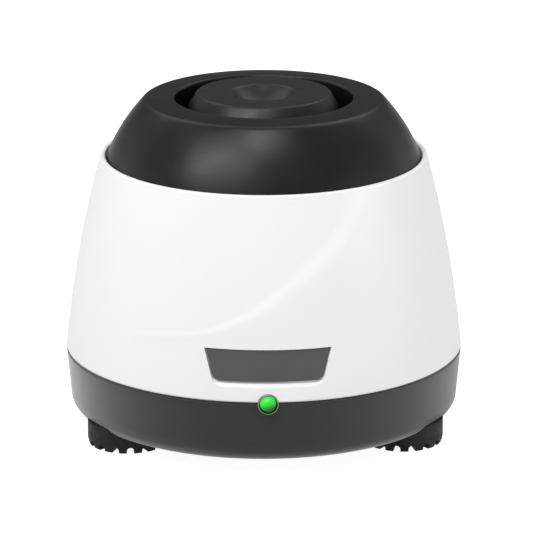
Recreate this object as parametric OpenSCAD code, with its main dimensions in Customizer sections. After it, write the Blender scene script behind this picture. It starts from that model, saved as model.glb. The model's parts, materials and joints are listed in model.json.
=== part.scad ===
// Touch-operated vortex mixer: a round weighted housing with a sprung drive.
// A rubber cup in the well of the cap orbits on an eccentric pin, and the whole
// drive sinks on three guide posts when the cup is pressed.
// Frame: origin on the housing's axis at the table, +Z up, lamp and plate to -Y.

/* [Housing] */
// Widest diameter of the housing, at the seam between tray and shell
body_d = 100.8; // [99.6:0.2:103]
// Height of the seam above the table
seam_z = 20.0; // [19.6:0.1:21.5]
// How much the tray's wall draws in, in radius, from the seam to its bottom edge
tray_taper = 1.2; // [0.8:0.1:1.8]
// How far the bevel of the tray's bottom edge reaches inwards
bevel_w = 3; // [2:0.1:3.4]
// Height of that bevel
bevel_h = 2.8; // [2:0.1:3.2]
// Height of the shell's rim above the table
rim_z = 69.8; // [69:0.1:71.5]
// Diameter of the shell's rim
rim_d = 82.4; // [81.6:0.2:84]
// Thickness of the shell's rim, between the cap and the outside
rim_lip = 1.2; // [1:0.1:1.6]
// How far the shell's side bulges beyond a straight cone
shell_bulge = 1.05; // [0.4:0.05:1.6]
// Thickness of the tray's and the shell's walls
wall = 2.2; // [1.8:0.1:2.6]
// Thickness of the tray's floor
floor_t = 3.5; // [3.2:0.1:3.8]
// Width and depth of the groove around the seam
seam_groove = 0.6; // [0.3:0.1:0.9]
// Width of the step that carries the cap inside the shell
ledge_w = 6.4; // [5.6:0.2:7.4]
// How deep the cap sits below the shell's rim
cap_seat = 4.2; // [3.4:0.2:5]

/* [Cap] */
// Height of the cap above the shell's rim
cap_h = 14.8; // [14.4:0.1:16]
// Diameter of the cap's shoulder
shoulder_d = 60.2; // [59:0.2:62]
// Drop from the rim of the well out to the shoulder
shoulder_drop = 0.5; // [0.3:0.1:1]
// Radius of the shoulder
shoulder_edge = 3; // [1:0.25:3.5]
// How far the cap's side bulges beyond a straight cone
cap_bulge = 0.85; // [0.4:0.05:1.1]
// Diameter of the well
well_d = 44.8; // [43:0.2:46]
// Depth of the well
well_depth = 11.6; // [11.2:0.1:12]
// Thickness of the cap's walls
cap_wall = 1.8; // [1.5:0.1:2]
// Inner diameter of the collar around the drive's opening
collar_d = 22.8; // [22.6:0.1:23.2]
// Thickness of the collar
collar_t = 1.4; // [1.2:0.1:1.5]
// Height of the collar above the floor of the well
collar_h = 5; // [4:0.1:5.2]

/* [Head] */
// Diameter of the rubber cup along its top edge
cup_d = 33.6; // [31:0.1:35]
// Diameter of the cup's skirt, below its flared side
skirt_d = 37.8; // [36.6:0.1:39]
// Height of the cup's flared side
flare_h = 3.3; // [2.6:0.1:4]
// How far the cup stands above the rim of the well
cup_proud = 0.5; // [0.2:0.1:0.9]
// Thickness of the cup's skirt
skirt_t = 1.6; // [1.2:0.1:2]
// How far the skirt hangs below the cup's top
skirt_h = 9.6; // [9:0.1:9.8]
// Radius of the cup's top edge
cup_edge = 0.8; // [0.5:0.1:1.2]
// Diameter of the dimple that takes the tube
dimple_d = 16.8; // [15:0.2:20]
// Depth of the dimple
dimple_depth = 4.6; // [4:0.1:5]
// Diameter of the circle on which the head orbits
orbit_d = 4; // [3.2:0.1:4.2]
// How far the head can be pressed down
press_travel = 1; // [0.6:0.1:1.1]

/* [Drive] */
// Diameter of the motor
motor_d = 27.7; // [26:0.1:29]
// Length of the motor's can
motor_l = 33; // [31:0.5:33.5]
// Diameter of the motor's shaft
shaft_d = 3; // [2.3:0.1:3.2]
// Outer diameter of the crank bearing
bearing_d = 13; // [12.6:0.1:13.2]
// Bore of the crank bearing
bearing_bore = 6; // [5.6:0.1:6.2]
// Width of the crank bearing
bearing_w = 5; // [4.6:0.1:5]
// Number of balls in the bearing
bearing_balls = 8; // [6:1:9]
// Diameter of the hub on the motor's shaft
hub_d = 14; // [13:0.2:15]
// Height of the hub
hub_h = 9; // [8.6:0.1:9.2]
// Radius of the counterweight
weight_r = 17; // [15:0.5:19]
// Thickness of the counterweight
weight_t = 4.4; // [3.6:0.1:4.6]
// Diameter of the carrier's neck around the bearing
neck_d = 17; // [16.4:0.1:17.2]

/* [Suspension] */
// How far the guide posts' centres lie inside the widest radius
post_inset = 24.4; // [23:0.2:25.4]
// Diameter of a guide post below its shoulder
post_d = 8; // [7.6:0.1:9]
// Diameter of the guide above the shoulder
guide_d = 4.5; // [4:0.1:4.8]
// Thickness of the motor plate
plate_t = 2.5; // [2:0.1:3]
// Height of the springs as fitted
spring_l = 12.8; // [11:0.2:14]
// Diameter of the spring wire
wire_d = 0.8; // [0.6:0.1:0.9]
// Number of turns in a spring
spring_turns = 6; // [4:1:7]
// Gap between the ballast and the housing's inside, for the leads and the socket
ballast_gap = 12.8; // [12.6:0.1:16]
// Height of the ballast
ballast_h = 10; // [8:0.5:11]

/* [Feet] */
// Diameter of a foot
foot_d = 20.4; // [19:0.2:20.8]
// Height of the feet under the tray
foot_h = 4.2; // [4:0.1:4.8]
// Height to which the feet wrap up around the tray's bevel
foot_wrap = 6.4; // [5:0.1:6.8]
// How far the feet's centres lie inside the widest radius
foot_inset = 10.5; // [10.2:0.1:12]
// Number of notches around a foot's lower edge
foot_notches = 16; // [12:1:18]
// Width of a notch
notch_w = 1.7; // [1.4:0.1:2]
// Height of a notch
notch_h = 1.6; // [1.2:0.1:1.8]
// Turn of the notches about the foot's axis
notch_turn = -3.75; // [-11:0.25:11]

/* [Front] */
// Width of the front plate along its top edge
plate_w = 30.1; // [28:0.1:33]
// Width of the front plate along its bottom edge
plate_foot_w = 26.4; // [24:0.2:28]
// Height of the front plate
plate_h = 7.7; // [7:0.1:9]
// Height of the plate's lower edge above the seam
plate_rise = 5.2; // [4.6:0.1:7]
// Thickness of the front plate
plate_thick = 0.8; // [0.6:0.1:1]
// Height of the slope under the plate
plate_slope = 1.4; // [1:0.1:1.8]
// Diameter of the lamp
lamp_d = 4.2; // [3.6:0.1:4.6]
// How far the lamp's centre lies below the seam
lamp_drop = 0.35; // [0:0.05:0.8]
// How far the lamp stands proud
lamp_proud = 1.35; // [0.8:0.05:1.4]
// Thickness of the lamp's bezel
bezel_t = 0.4; // [0.3:0.05:0.6]

/* [Electrics] */
// Width of the control board
board_w = 34; // [31:0.5:35]
// Thickness of the control board
board_t = 1.6; // [1.2:0.1:1.8]
// How far the board's inner face lies inside the widest radius
board_inset = 22.2; // [21.4:0.1:22.8]
// Width of the power socket's body
jack_w = 9; // [8.4:0.1:9.6]
// Length of the power socket's body
jack_l = 11.7; // [10.5:0.1:12.4]
// Bore of the power socket
jack_bore = 5.7; // [5.5:0.1:6]
// Diameter of the power socket's pin
jack_pin = 2; // [1.7:0.1:2.1]
// Diameter of the vent circle under the motor
vent_d = 27; // [22:0.5:28]

/* [Hidden] */
$fn = 96;

// Clearances
fit = 0.05;        // between pieces pushed or screwed together
run = 0.05;        // radial, between a guide or shaft and its bush
part_gap = 0.3;    // between neighbours that must not touch
shell_fit = 0.2;   // around tongues, plates and cut-outs
eps = 0.01;

// Heights and radii of the housing
body_r = body_d / 2;
rim_r = rim_d / 2;
tray_r = body_r - tray_taper;
floor_z = foot_h + floor_t;
bevel_foot = 1.2;
bevel_top = 2;
tongue_t = 1.2;
tongue_h = 2.5;
tongue_r = body_r - wall - shell_fit;
inner_r = tongue_r - tongue_t;
lip_h = 4.5;
lip_flare = 0.8;
ledge_z = rim_z - cap_seat;
ledge_r = rim_r - rim_lip - part_gap - ledge_w;
shell_foot = [body_r, seam_z];
shell_head = [rim_r + lip_flare, rim_z - lip_h];

// Heights and radii of the cap
cap_r = rim_r - rim_lip - part_gap;
cap_z = rim_z + cap_h;
shoulder = [shoulder_d / 2, cap_z - shoulder_drop];
well_edge = 0.6;
well_r = well_d / 2;
well_z = cap_z - well_depth;
collar_z = well_z + collar_h;

// The head, from the cup's top down to the hub
cup_z = cap_z + cup_proud;
cup_r = cup_d / 2;
skirt_r = skirt_d / 2;
orbit_r = orbit_d / 2;
disc_z = collar_z + press_travel + 0.6;
disc_t = 1.8;
disc_r = skirt_r - skirt_t - fit;
dish_r = dimple_d / 2 + 0.6;
dish_z = disc_z - 1;
web_t = 2.4;
neck_r = neck_d / 2;
cavity_z = dish_z - web_t;
cavity_h = 4.2;
bearing_z = cavity_z - cavity_h - bearing_w;
race_shoulder = 1;
pin_step = 0.7;
pin_screw_r = 1.25;
hub_top = bearing_z - pin_step;
hub_z = hub_top - hub_h;
hub_r = hub_d / 2;

// The motor under its plate
motor_r = motor_d / 2;
shaft_r = shaft_d / 2;
can_wall = 1;
screw_head_h = 1.7;
plate_top = hub_z - screw_head_h - 1.3;
plate_z = plate_top - plate_t;
can_z = plate_z - motor_l;
boss_h = 1.8;
boss_r = 5;
end_cap_h = 3;
end_boss_h = 2;
end_boss_r = 4;
mount_pitch = 16;
mount_head_r = 2.6;
magnet_t = 2.4;
magnet_margin = 7;
air_gap = 0.5;
stack_r = motor_r - can_wall - fit - magnet_t - air_gap;
stack_margin = 9;
core_r = 3.4;
pole_t = 2.6;
shoe_t = 1.8;
winding_t = 1.6;
commutator_r = 3;
commutator_z = [3, 7.5];
terminal_size = [3, 0.8, 8.2];
terminal_x = 8;
brush_slot = 0.05;

// Guide posts, bushes and springs
bush_flange = 1.2;
bush_wall = 1.15;
bush_rise = 2;
bush_r = guide_d / 2 + run + bush_wall;
guide_r = guide_d / 2;
spring_top = plate_z - bush_flange;
post_shoulder_z = spring_top - spring_l;
post_top = plate_top + bush_rise + part_gap;
spring_r = guide_r + 0.65 + wire_d / 2;
post_flange_t = 1.5;
ballast_top = floor_z + ballast_h;
ballast_clear = 2;
ballast_bore_r = motor_r + ballast_clear;
ballast_r = inner_r - ballast_gap;
board_y = body_r - board_inset;
ballast_flat = board_y - 5;
ballast_notch = 8;
post_angles = [90, 210, 330];
post_circle = body_r - post_inset;
post_thread_r = 2;
post_flange_r = post_d / 2 + 2;
tray_post_r = 4;
post_screw_r = 1.25;
post_screw_l = 7;
post_washer_r = guide_r + 2;
post_washer_t = 0.8;

// Fasteners
m3_r = 1.5;
m3_head_r = 2.8;
m3_head_h = 1.8;
foot_angles = [90, 210, 330];
foot_r = foot_d / 2;
foot_circle = body_r - foot_inset;
foot_web = 1.5;
foot_boss_h = 1.5;
housing_angles = [45, 135, 250, 290];
housing_circle = body_r - 8.9;
tray_boss_h = 8.3;
shell_boss_h = 18;
screw_grip = 12;
cap_angles = [30, 150, 270];
cap_screw_r = 1.25;
cap_boss_r = 2.7;
cap_circle = ledge_r + cap_boss_r;

// Front plate and lamp
plate_z0 = seam_z + plate_rise;
plate_inset = 0.12;
lamp_z = seam_z - lamp_drop;
lamp_r = lamp_d / 2;
lamp_hole_r = lamp_r + bezel_t + 0.1;
lamp_flange_y = inner_r - 0.5;

// Board, switch and socket
board_z0 = floor_z + part_gap;
switch_l = 12.8;
switch_w = 5.8;
switch_h = 6.5;
plunger_l = 1.7;
press_tab_w = 10;
driver_size = [10, 4.6, 9];
driver_rise = 26;
chip_size = [7, 2, 5];
chip_rise = 24;
plug_size = [7.5, 4.2, 6.5];
plug_rise = 8;
capacitor_r = 4;
capacitor_l = 9;
capacitor_rise = 31;
switch_top = plate_z - part_gap - plunger_l;
board_top = switch_top - 1;
rib_t = 2;
rib_h = 22;
jack_h = 8.8;
jack_z = floor_z + 1.9 + jack_h / 2;
jack_front = sqrt(pow(inner_r, 2) - pow(jack_w / 2, 2)) - part_gap;
jack_back = jack_front - jack_l;
jack_barrel_r = jack_bore / 2 + 1.15;
jack_depth = 9;
jack_face = tray_r + tray_taper * 0.3;
jack_floor = jack_face - jack_depth;
jack_rivet_r = 1.6;
tab_l = 2.4;
lead_r = 0.8;
lead_circle = ballast_r + lead_r + 0.6;

// ---- Helpers ---------------------------------------------------------------

// Points of the arc from p to q whose middle stands s to the right of the chord.
function bow(p, q, s, n = 12) =
    let (d = q - p, l = norm(d), u = d / l, v = [u[1], -u[0]],
         big = (l * l / 4 + s * s) / (2 * s), c = (p + q) / 2 + v * (s - big), h = 2 * atan(2 * s / l))
    [for (i = [0:n]) let (a = -h + 2 * h * i / n) c + big * (u * sin(a) + v * cos(a))];

// Centre and radius of that arc, to find its radius from the axis at a height.
function bow_r(p, q, s, z) =
    let (d = q - p, l = norm(d), u = d / l, v = [u[1], -u[0]],
         big = (l * l / 4 + s * s) / (2 * s), c = (p + q) / 2 + v * (s - big))
    c[0] + sqrt(big * big - pow(z - c[1], 2));

function unit(v) = v / norm(v);

// Arc of radius r that rounds the corner b of the path a, b, c.
function corner(a, b, c, r, n = 5) =
    let (u = unit(a - b), w = unit(c - b), half = acos(max(-1, min(1, u * w))) / 2)
    half > 89.5 ? [b] :
    let (m = b + unit(u + w) * r / sin(half), s = b + u * r / tan(half), e = b + w * r / tan(half),
         a0 = atan2(s[1] - m[1], s[0] - m[0]), a1 = atan2(e[1] - m[1], e[0] - m[0]),
         turn = a1 - a0 > 180 ? a1 - a0 - 360 : a1 - a0 < -180 ? a1 - a0 + 360 : a1 - a0)
    [for (i = [0:n]) m + r * [cos(a0 + turn * i / n), sin(a0 + turn * i / n)]];

// Closed outline whose points may carry a third number, the radius of that corner.
function rounded(path) =
    [for (i = [0:len(path) - 1])
        let (k = len(path), p = path[i], b = [p[0], p[1]],
             a = [path[(i + k - 1) % k][0], path[(i + k - 1) % k][1]],
             c = [path[(i + 1) % k][0], path[(i + 1) % k][1]])
        each (len(p) == 3 && p[2] > 0 ? corner(a, b, c, p[2]) : [b])];

function shell_r(z) = bow_r(shell_foot, shell_head, shell_bulge, z);

module revolved(path) { rotate_extrude() polygon(rounded(path)); }

module around(angles, r) { for (a = angles) rotate([0, 0, a]) translate([r, 0, 0]) children(); }

// A cylinder between two heights.
module post(r, z0, z1) { translate([0, 0, z0]) cylinder(r = r, h = z1 - z0); }

// A cylinder that lies along -Y, from y0 to y1, both measured towards the front.
module forward(r, y0, y1) { rotate([90, 0, 0]) translate([0, 0, y0]) cylinder(r = r, h = y1 - y0); }

// A pan-head screw, head down, its head resting under the height z.
module screw(r, head_r, head_h, z, l) {
    difference() {
        union() {
            revolved([[0, z - head_h], [head_r, z - head_h, 0.5], [head_r, z], [0, z]]);
            post(r, z - eps, z + l);
        }
        cross(head_r, z - head_h);
    }
}

// The cross recess of a screw head that faces down at the height z.
module cross(head_r, z) {
    for (a = [0, 90]) rotate([0, 0, a])
        translate([-head_r * 0.55, -0.3, z - eps]) cube([head_r * 1.1, 0.6, 0.9]);
}

module at_head() { translate([0, orbit_r, 0]) children(); }

// ---- Housing ---------------------------------------------------------------

module tray_outline() {
    revolved([[0, foot_h], [tray_r - bevel_w, foot_h, bevel_foot], [tray_r, foot_h + bevel_h, bevel_top],
              [body_r - 0.05, seam_z - seam_groove],
              [body_r - seam_groove, seam_z - seam_groove], [body_r - seam_groove, seam_z],
              [tongue_r, seam_z], [tongue_r - 0.35, seam_z + tongue_h, 0.4], [inner_r, seam_z + tongue_h],
              [inner_r, floor_z, 1], [0, floor_z]]);
}

module vent_slots() {
    linear_extrude(height = floor_t + 2) for (a = [0:30:330]) rotate([0, 0, a]) {
        translate([vent_d / 4, -0.9]) square([vent_d / 4, 1.8]);
        translate([vent_d / 4, 0]) circle(r = 0.9);
        translate([vent_d / 2, 0]) circle(r = 0.9);
    }
}

module board_guides() {
    for (s = [-1, 1]) difference() {
        translate([s * (board_w / 2 + rib_t / 2 - 0.4) - rib_t / 2 - 0.4, -board_y - board_t - 2, floor_z - eps])
            cube([rib_t + 0.8, board_t + 4, rib_h]);
        translate([-board_w / 2 - shell_fit, -board_y - board_t - 0.1, floor_z - 1])
            cube([board_w + 2 * shell_fit, board_t + 0.2, rib_h + 2]);
    }
}

module jack_cradle() {
    for (s = [-1, 1]) {
        translate([s * 3.2 - 0.6, jack_back + 1, floor_z - eps])
            cube([1.2, jack_l - 2, jack_z - jack_h / 2 - floor_z - 0.1]);
        translate([s * (jack_w / 2 + 0.9) - 0.7, jack_back + 1, floor_z - eps])
            cube([1.4, jack_l - 2, jack_h * 0.7]);
    }
}

module base_tray() {
    color("#3c3c3e") difference() {
        union() {
            tray_outline();
            around(housing_angles, housing_circle) post(4.6, foot_h + 0.5, floor_z + tray_boss_h);
            around(foot_angles, foot_circle) post(4, foot_h + 0.5, floor_z + foot_boss_h);
            around(post_angles, post_circle) post(tray_post_r, foot_h + 0.5, floor_z + ballast_h - 0.6);
            board_guides();
            jack_cradle();
        }
        around(housing_angles, housing_circle) {
            post(3.2, foot_h - 1, floor_z + tray_boss_h - 4);
            post(m3_r + fit, foot_h, floor_z + tray_boss_h + 1);
        }
        around(foot_angles, foot_circle) post(m3_r + fit, foot_h - 1, floor_z + foot_boss_h - 0.2);
        around(post_angles, post_circle) post(post_thread_r + fit, floor_z + 0.8, ballast_top + 1);
        translate([0, 0, foot_h - 1]) vent_slots();
        translate([0, 0, lamp_z]) forward(lamp_hole_r, inner_r - 4, body_r + 5);
        translate([0, 0, jack_z]) forward(jack_barrel_r + 0.15, -body_r - 5, -inner_r + 4);
    }
}

module shell_band(outer, inner) {
    rotate_extrude() polygon([
        each [for (p = bow(shell_foot, shell_head, shell_bulge)) p - [outer, 0]],
        each [for (p = bow(shell_head, shell_foot, -shell_bulge)) p - [inner, 0]],
    ]);
}

// The trapezoid of the front plate, grown by g all round, as a bar that points to -Y.
module plate_bar(g) {
    top = plate_w / 2 + g;
    foot = plate_foot_w / 2 + g;
    rotate([90, 0, 0]) linear_extrude(height = body_r + 5) polygon(rounded([
        [-top, plate_z0 + plate_h + g], [-foot, plate_z0 - g, 1.9 + g],
        [foot, plate_z0 - g, 1.9 + g], [top, plate_z0 + plate_h + g]]));
}

// The slope that leads from the shell's side in to the plate's lower edge.
module plate_slope_cut() {
    low = plate_z0 - plate_slope;
    depth = plate_inset + plate_thick;
    intersection() {
        plate_bar(plate_slope);
        rotate_extrude() polygon([[shell_r(low), low], [body_r + 1, low], [body_r + 1, plate_z0 + 1],
                                  [shell_r(plate_z0) - depth, plate_z0 + 1], [shell_r(plate_z0) - depth, plate_z0]]);
        translate([-plate_foot_w / 2 - 0.15, -body_r - 1, low - 1]) cube([plate_foot_w + 0.3, body_r, plate_slope + 1.5]);
    }
}

module upper_shell() {
    side = bow(shell_foot + [0, seam_groove], shell_head, shell_bulge);
    back = bow([shell_r(ledge_z - wall) - wall, ledge_z - wall], [body_r - wall, seam_z], -shell_bulge);
    color("#f2f2f4") difference() {
        union() {
            rotate_extrude() polygon([
                [body_r - seam_groove, seam_z], [body_r - seam_groove, seam_z + seam_groove],
                each side,
                each corner(shell_head, [rim_r, rim_z], [rim_r - rim_lip, rim_z], 0.8),
                each corner([rim_r, rim_z], [rim_r - rim_lip, rim_z], [rim_r - rim_lip, ledge_z], 0.4),
                [rim_r - rim_lip, ledge_z], [ledge_r, ledge_z], [ledge_r, ledge_z - wall],
                each back,
            ]);
            intersection() {
                around(housing_angles, housing_circle) union() {
                    post(3.5, floor_z + tray_boss_h, floor_z + tray_boss_h + shell_boss_h);
                    translate([0, -0.8, seam_z + tongue_h + 0.5])
                        cube([8, 1.6, floor_z + tray_boss_h + shell_boss_h - seam_z - tongue_h - 0.5]);
                }
                rotate_extrude() polygon([[0, floor_z], [inner_r - 0.5, floor_z], [inner_r - 0.5, seam_z + 3],
                    each [for (p = bow([body_r, seam_z + 3], shell_head, shell_bulge)) p - [wall / 2, 0]],
                    [0, shell_head[1]]]);
            }
        }
        around(housing_angles, housing_circle)
            post(m3_r + fit, floor_z + tray_boss_h - 1, floor_z + tray_boss_h + screw_grip + 1);
        around(cap_angles, cap_circle) post(cap_screw_r + 0.2, ledge_z - wall - 1, ledge_z + 1);
        intersection() {
            plate_bar(0.15);
            shell_band(-1, plate_inset + plate_thick + 0.05);
        }
        plate_slope_cut();
        translate([0, 0, lamp_z]) forward(lamp_hole_r, inner_r - 4, body_r + 5);
    }
}

module top_cap() {
    foot = [cap_r, rim_z - 0.7];
    side = bow(foot, shoulder, cap_bulge, 8);
    color("#262627") difference() {
        union() {
            rotate_extrude() polygon([
                [cap_r, ledge_z], each [for (i = [0:7]) side[i]],
                each corner(side[7], shoulder, [well_r, cap_z], shoulder_edge),
                each corner(shoulder, [well_r, cap_z], [well_r, well_z], well_edge),
                each corner([well_r, cap_z], [well_r, well_z], [collar_d / 2, well_z], 1),
                [collar_d / 2 + collar_t, well_z],
                each corner([collar_d / 2 + collar_t, well_z], [collar_d / 2 + collar_t, collar_z],
                            [collar_d / 2, collar_z], 0.4),
                [collar_d / 2, collar_z], [collar_d / 2, well_z - cap_wall],
                [well_r + cap_wall, well_z - cap_wall], [well_r + cap_wall, cap_z - cap_wall],
                [shoulder[0] - cap_wall * 0.6, shoulder[1] - cap_wall],
                [cap_r - cap_wall, rim_z - 0.7], [cap_r - cap_wall, ledge_z],
            ]);
            intersection() {
                around(cap_angles, cap_circle) post(cap_boss_r, ledge_z, cap_z);
                rotate_extrude() polygon([[0, ledge_z], [cap_r - 0.6, ledge_z], [cap_r - 0.6, rim_z - 1],
                    [shoulder[0] - 0.8, shoulder[1] - 1], [0, shoulder[1] - 1]]);
            }
        }
        around(cap_angles, cap_circle) post(cap_screw_r + fit, ledge_z - 1, ledge_z + 7);
    }
}

module name_plate() {
    color("#555558") intersection() {
        plate_bar(0);
        shell_band(plate_inset, plate_inset + plate_thick);
    }
}

// ---- Lamp ------------------------------------------------------------------

module led_bezel() {
    color("#8a8d90") translate([0, 0, lamp_z]) difference() {
        forward(lamp_hole_r - fit, body_r - 3, body_r + 0.15);
        forward(lamp_r + fit, body_r - 4, body_r + 1);
    }
}

module led_lens() {
    tip = body_r + lamp_proud;
    color("#1fd12a") translate([0, 0, lamp_z]) rotate([90, 0, 0]) revolved([
        [0, lamp_flange_y - 1], [lamp_hole_r + 0.2, lamp_flange_y - 1], [lamp_hole_r + 0.2, lamp_flange_y],
        [lamp_r, lamp_flange_y], [lamp_r, tip, lamp_r * 0.95], [0, tip]]);
}

module led_leads() {
    y0 = board_y + board_t + fit;
    color("#c8c8c8") for (s = [-1, 1])
        translate([-0.25, -lamp_flange_y + 1 + fit, lamp_z + s * 1.27 - 0.25])
            cube([0.5, lamp_flange_y - 1 - fit - y0, 0.5]);
}

// ---- Feet and fasteners ----------------------------------------------------

// The tray's outer form below the side, grown by the fit, which trims the feet.
module tray_underside() {
    rotate_extrude() polygon([[0, foot_h - fit], [tray_r - bevel_w, foot_h - fit], [tray_r + fit, foot_h + bevel_h],
                              [body_r, seam_z], [0, seam_z]]);
}

module notch() {
    translate([foot_r - 4, 0, notch_h - notch_w / 2]) rotate([0, 90, 0]) cylinder(r = notch_w / 2, h = 6);
    translate([foot_r - 4, -notch_w / 2, -1]) cube([6, notch_w, 1 + notch_h - notch_w / 2]);
}

module foot(angle) {
    color("#1d1d1d") difference() {
        rotate([0, 0, angle]) translate([foot_circle, 0, 0]) difference() {
            revolved([[0, 0], [foot_r - 0.4, 0, 0.4], [foot_r, notch_h, 0.3], [foot_r, foot_wrap, 0.3], [0, foot_wrap]]);
            post(m3_head_r + 0.7, -1, foot_h - foot_web);
            post(m3_r + 0.2, 0, foot_h + 1);
            for (i = [0:foot_notches - 1]) rotate([0, 0, notch_turn + i * 360 / foot_notches]) notch();
        }
        tray_underside();
    }
}

module foot_screws() {
    color("#b8babd") around(foot_angles, foot_circle)
        screw(m3_r, m3_head_r, m3_head_h, foot_h - foot_web, foot_web + floor_t + foot_boss_h - 0.5);
}

module housing_screws() {
    head_z = floor_z + tray_boss_h - 4;
    color("#b8babd") around(housing_angles, housing_circle)
        screw(m3_r, m3_head_r, m3_head_h, head_z, 4 + screw_grip);
}

module cap_screws() {
    color("#b8babd") around(cap_angles, cap_circle)
        screw(cap_screw_r, 2.3, 1.5, ledge_z - wall, wall + 6.5);
}

// ---- Ballast and suspension ------------------------------------------------

module ballast_weight() {
    r = ballast_r;
    color("#6e7276") difference() {
        revolved([[ballast_bore_r, floor_z, 0.5], [r, floor_z, 0.8], [r, ballast_top, 0.8],
                  [ballast_bore_r, ballast_top, 0.5]]);
        around(post_angles, post_circle) post(tray_post_r + shell_fit, floor_z - 1, ballast_top + 1);
        translate([-r, -ballast_flat - r, floor_z - 1]) cube([2 * r, r, ballast_h + 2]);
        translate([-ballast_notch / 2, post_circle, floor_z - 1]) cube([ballast_notch, r, ballast_h + 2]);
    }
}

module guide_posts() {
    color("#c3c6c9") around(post_angles, post_circle) difference() {
        revolved([[0, floor_z + 1.2], [post_thread_r, floor_z + 1.2], [post_thread_r, ballast_top],
                  [post_flange_r, ballast_top], [post_flange_r, ballast_top + post_flange_t, 0.3],
                  [post_d / 2, ballast_top + post_flange_t],
                  [post_d / 2, post_shoulder_z], [guide_r, post_shoulder_z], [guide_r, post_top, 0.3],
                  [0, post_top]]);
        post(post_screw_r + fit, post_top - 8, post_top + 1);
    }
}

// A screw with a washer under its head, which points up from the height z.
module washer_screw(washer_r, washer_t, r, z, l) {
    head_z = z + washer_t;
    difference() {
        union() {
            post(washer_r, z, head_z);
            revolved([[0, head_z - eps], [r * 2, head_z - eps], [r * 2, head_z + r * 1.3, r / 2],
                      [0, head_z + r * 1.3]]);
            post(r, z - l, z + eps);
        }
        translate([0, 0, 2 * head_z + r * 1.3]) mirror([0, 0, 1]) cross(r * 2, head_z);
    }
}

module post_screws() {
    color("#9fa3a6") around(post_angles, post_circle)
        washer_screw(post_washer_r, post_washer_t, post_screw_r, post_top, post_screw_l);
}

// A coil spring of round wire, its ends ground flat by lying within its height.
function spring_ring(a, z, sides) =
    [for (j = [0:sides - 1]) let (b = 360 * j / sides, r = spring_r + wire_d / 2 * cos(b))
        [r * cos(a), r * sin(a), z + wire_d / 2 * sin(b)]];

module coil(z0, z1, turns) {
    sides = 6;
    steps = turns * 14;
    low = z0 + wire_d / 2 + fit;
    high = z1 - wire_d / 2 - fit;
    pts = [for (i = [0:steps]) each spring_ring(i * 360 * turns / steps, low + (high - low) * i / steps, sides)];
    faces = concat(
        [[for (j = [0:sides - 1]) j]],
        [for (i = [0:steps - 1], j = [0:sides - 1]) let (k = (j + 1) % sides)
            [i * sides + j, (i + 1) * sides + j, (i + 1) * sides + k, i * sides + k]],
        [[for (j = [sides - 1:-1:0]) steps * sides + j]]);
    polyhedron(points = pts, faces = faces, convexity = 8);
}

module press_springs() {
    color("#aeb2b6") around(post_angles, post_circle) coil(post_shoulder_z, spring_top, spring_turns);
}

module guide_bushes() {
    color("#e9e6da") around(post_angles, post_circle) revolved([
        [guide_r + run, spring_top], [bush_r + 1.1, spring_top, 0.3], [bush_r + 1.1, plate_z],
        [bush_r, plate_z], [bush_r, plate_top + bush_rise, 0.4], [guide_r + run, plate_top + bush_rise]]);
}

// ---- Motor -----------------------------------------------------------------

module motor_plate() {
    color("#b4b8bb") translate([0, 0, plate_z]) linear_extrude(height = plate_t) difference() {
        union() {
            circle(r = motor_r + 4);
            around(post_angles, post_circle) circle(r = bush_r + 3.6);
            for (a = post_angles) rotate([0, 0, a]) translate([0, -bush_r - 1.6]) square([post_circle, 2 * bush_r + 3.2]);
            translate([-press_tab_w / 2, -board_y + 0.8]) square([press_tab_w, board_y - 1]);
        }
        circle(r = boss_r + fit);
        around(post_angles, post_circle) circle(r = bush_r + fit);
        for (s = [-1, 1]) translate([s * mount_pitch / 2, 0]) circle(r = m3_r + 0.1);
    }
}

module motor_screws() {
    color("#b8babd") for (s = [-1, 1]) translate([s * mount_pitch / 2, 0, 0]) mirror([0, 0, 1])
        screw(m3_r, mount_head_r, screw_head_h, -plate_top, plate_t + 2.5);
}

module motor_can() {
    color("#a9adb0") difference() {
        revolved([[shaft_r + run, plate_z + boss_h], [shaft_r + run, plate_z - 4], [boss_r, plate_z - 4],
                  [boss_r, plate_z - 3], [motor_r - can_wall, plate_z - 3, 1],
                  [motor_r - can_wall, can_z], [motor_r, can_z], [motor_r, plate_z, 1],
                  [boss_r, plate_z], [boss_r, plate_z + boss_h, 0.3]]);
        for (s = [-1, 1]) translate([s * mount_pitch / 2, 0, 0]) post(m3_r + fit, plate_z - 2.8, plate_z + 1);
        for (a = [0:90:270]) rotate([0, 0, a + 45]) translate([motor_r - 3, -1.6, can_z + 6]) cube([6, 3.2, 6]);
    }
}

module motor_end_cap() {
    color("#2e2e30") difference() {
        union() {
            revolved([[0, can_z - end_cap_h - end_boss_h], [end_boss_r, can_z - end_cap_h - end_boss_h, 0.5],
                      [end_boss_r, can_z - end_cap_h], [motor_r, can_z - end_cap_h, 0.6], [motor_r, can_z],
                      [motor_r - can_wall - fit, can_z], [motor_r - can_wall - fit, can_z + 2],
                      [motor_r - 3, can_z + 2], [motor_r - 3, can_z], [0, can_z]]);
        }
        post(shaft_r + run, can_z - end_cap_h - end_boss_h + 0.8, can_z + 1);
        for (s = [-1, 1]) translate([s * terminal_x, 0, can_z - end_cap_h / 2])
            cube([terminal_size[0] + 2 * brush_slot, terminal_size[1] + 2 * brush_slot, end_cap_h + 2], center = true);
    }
}

module motor_terminals() {
    color("#c9a04a") for (s = [-1, 1]) translate([s * terminal_x, 0, can_z + 1]) difference() {
        translate([0, 0, -terminal_size[2] / 2]) cube(terminal_size, center = true);
        translate([0, terminal_size[1], 1.6 - terminal_size[2]]) rotate([90, 0, 0])
            cylinder(r = terminal_size[0] / 4, h = 2 * terminal_size[1]);
    }
}

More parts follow.
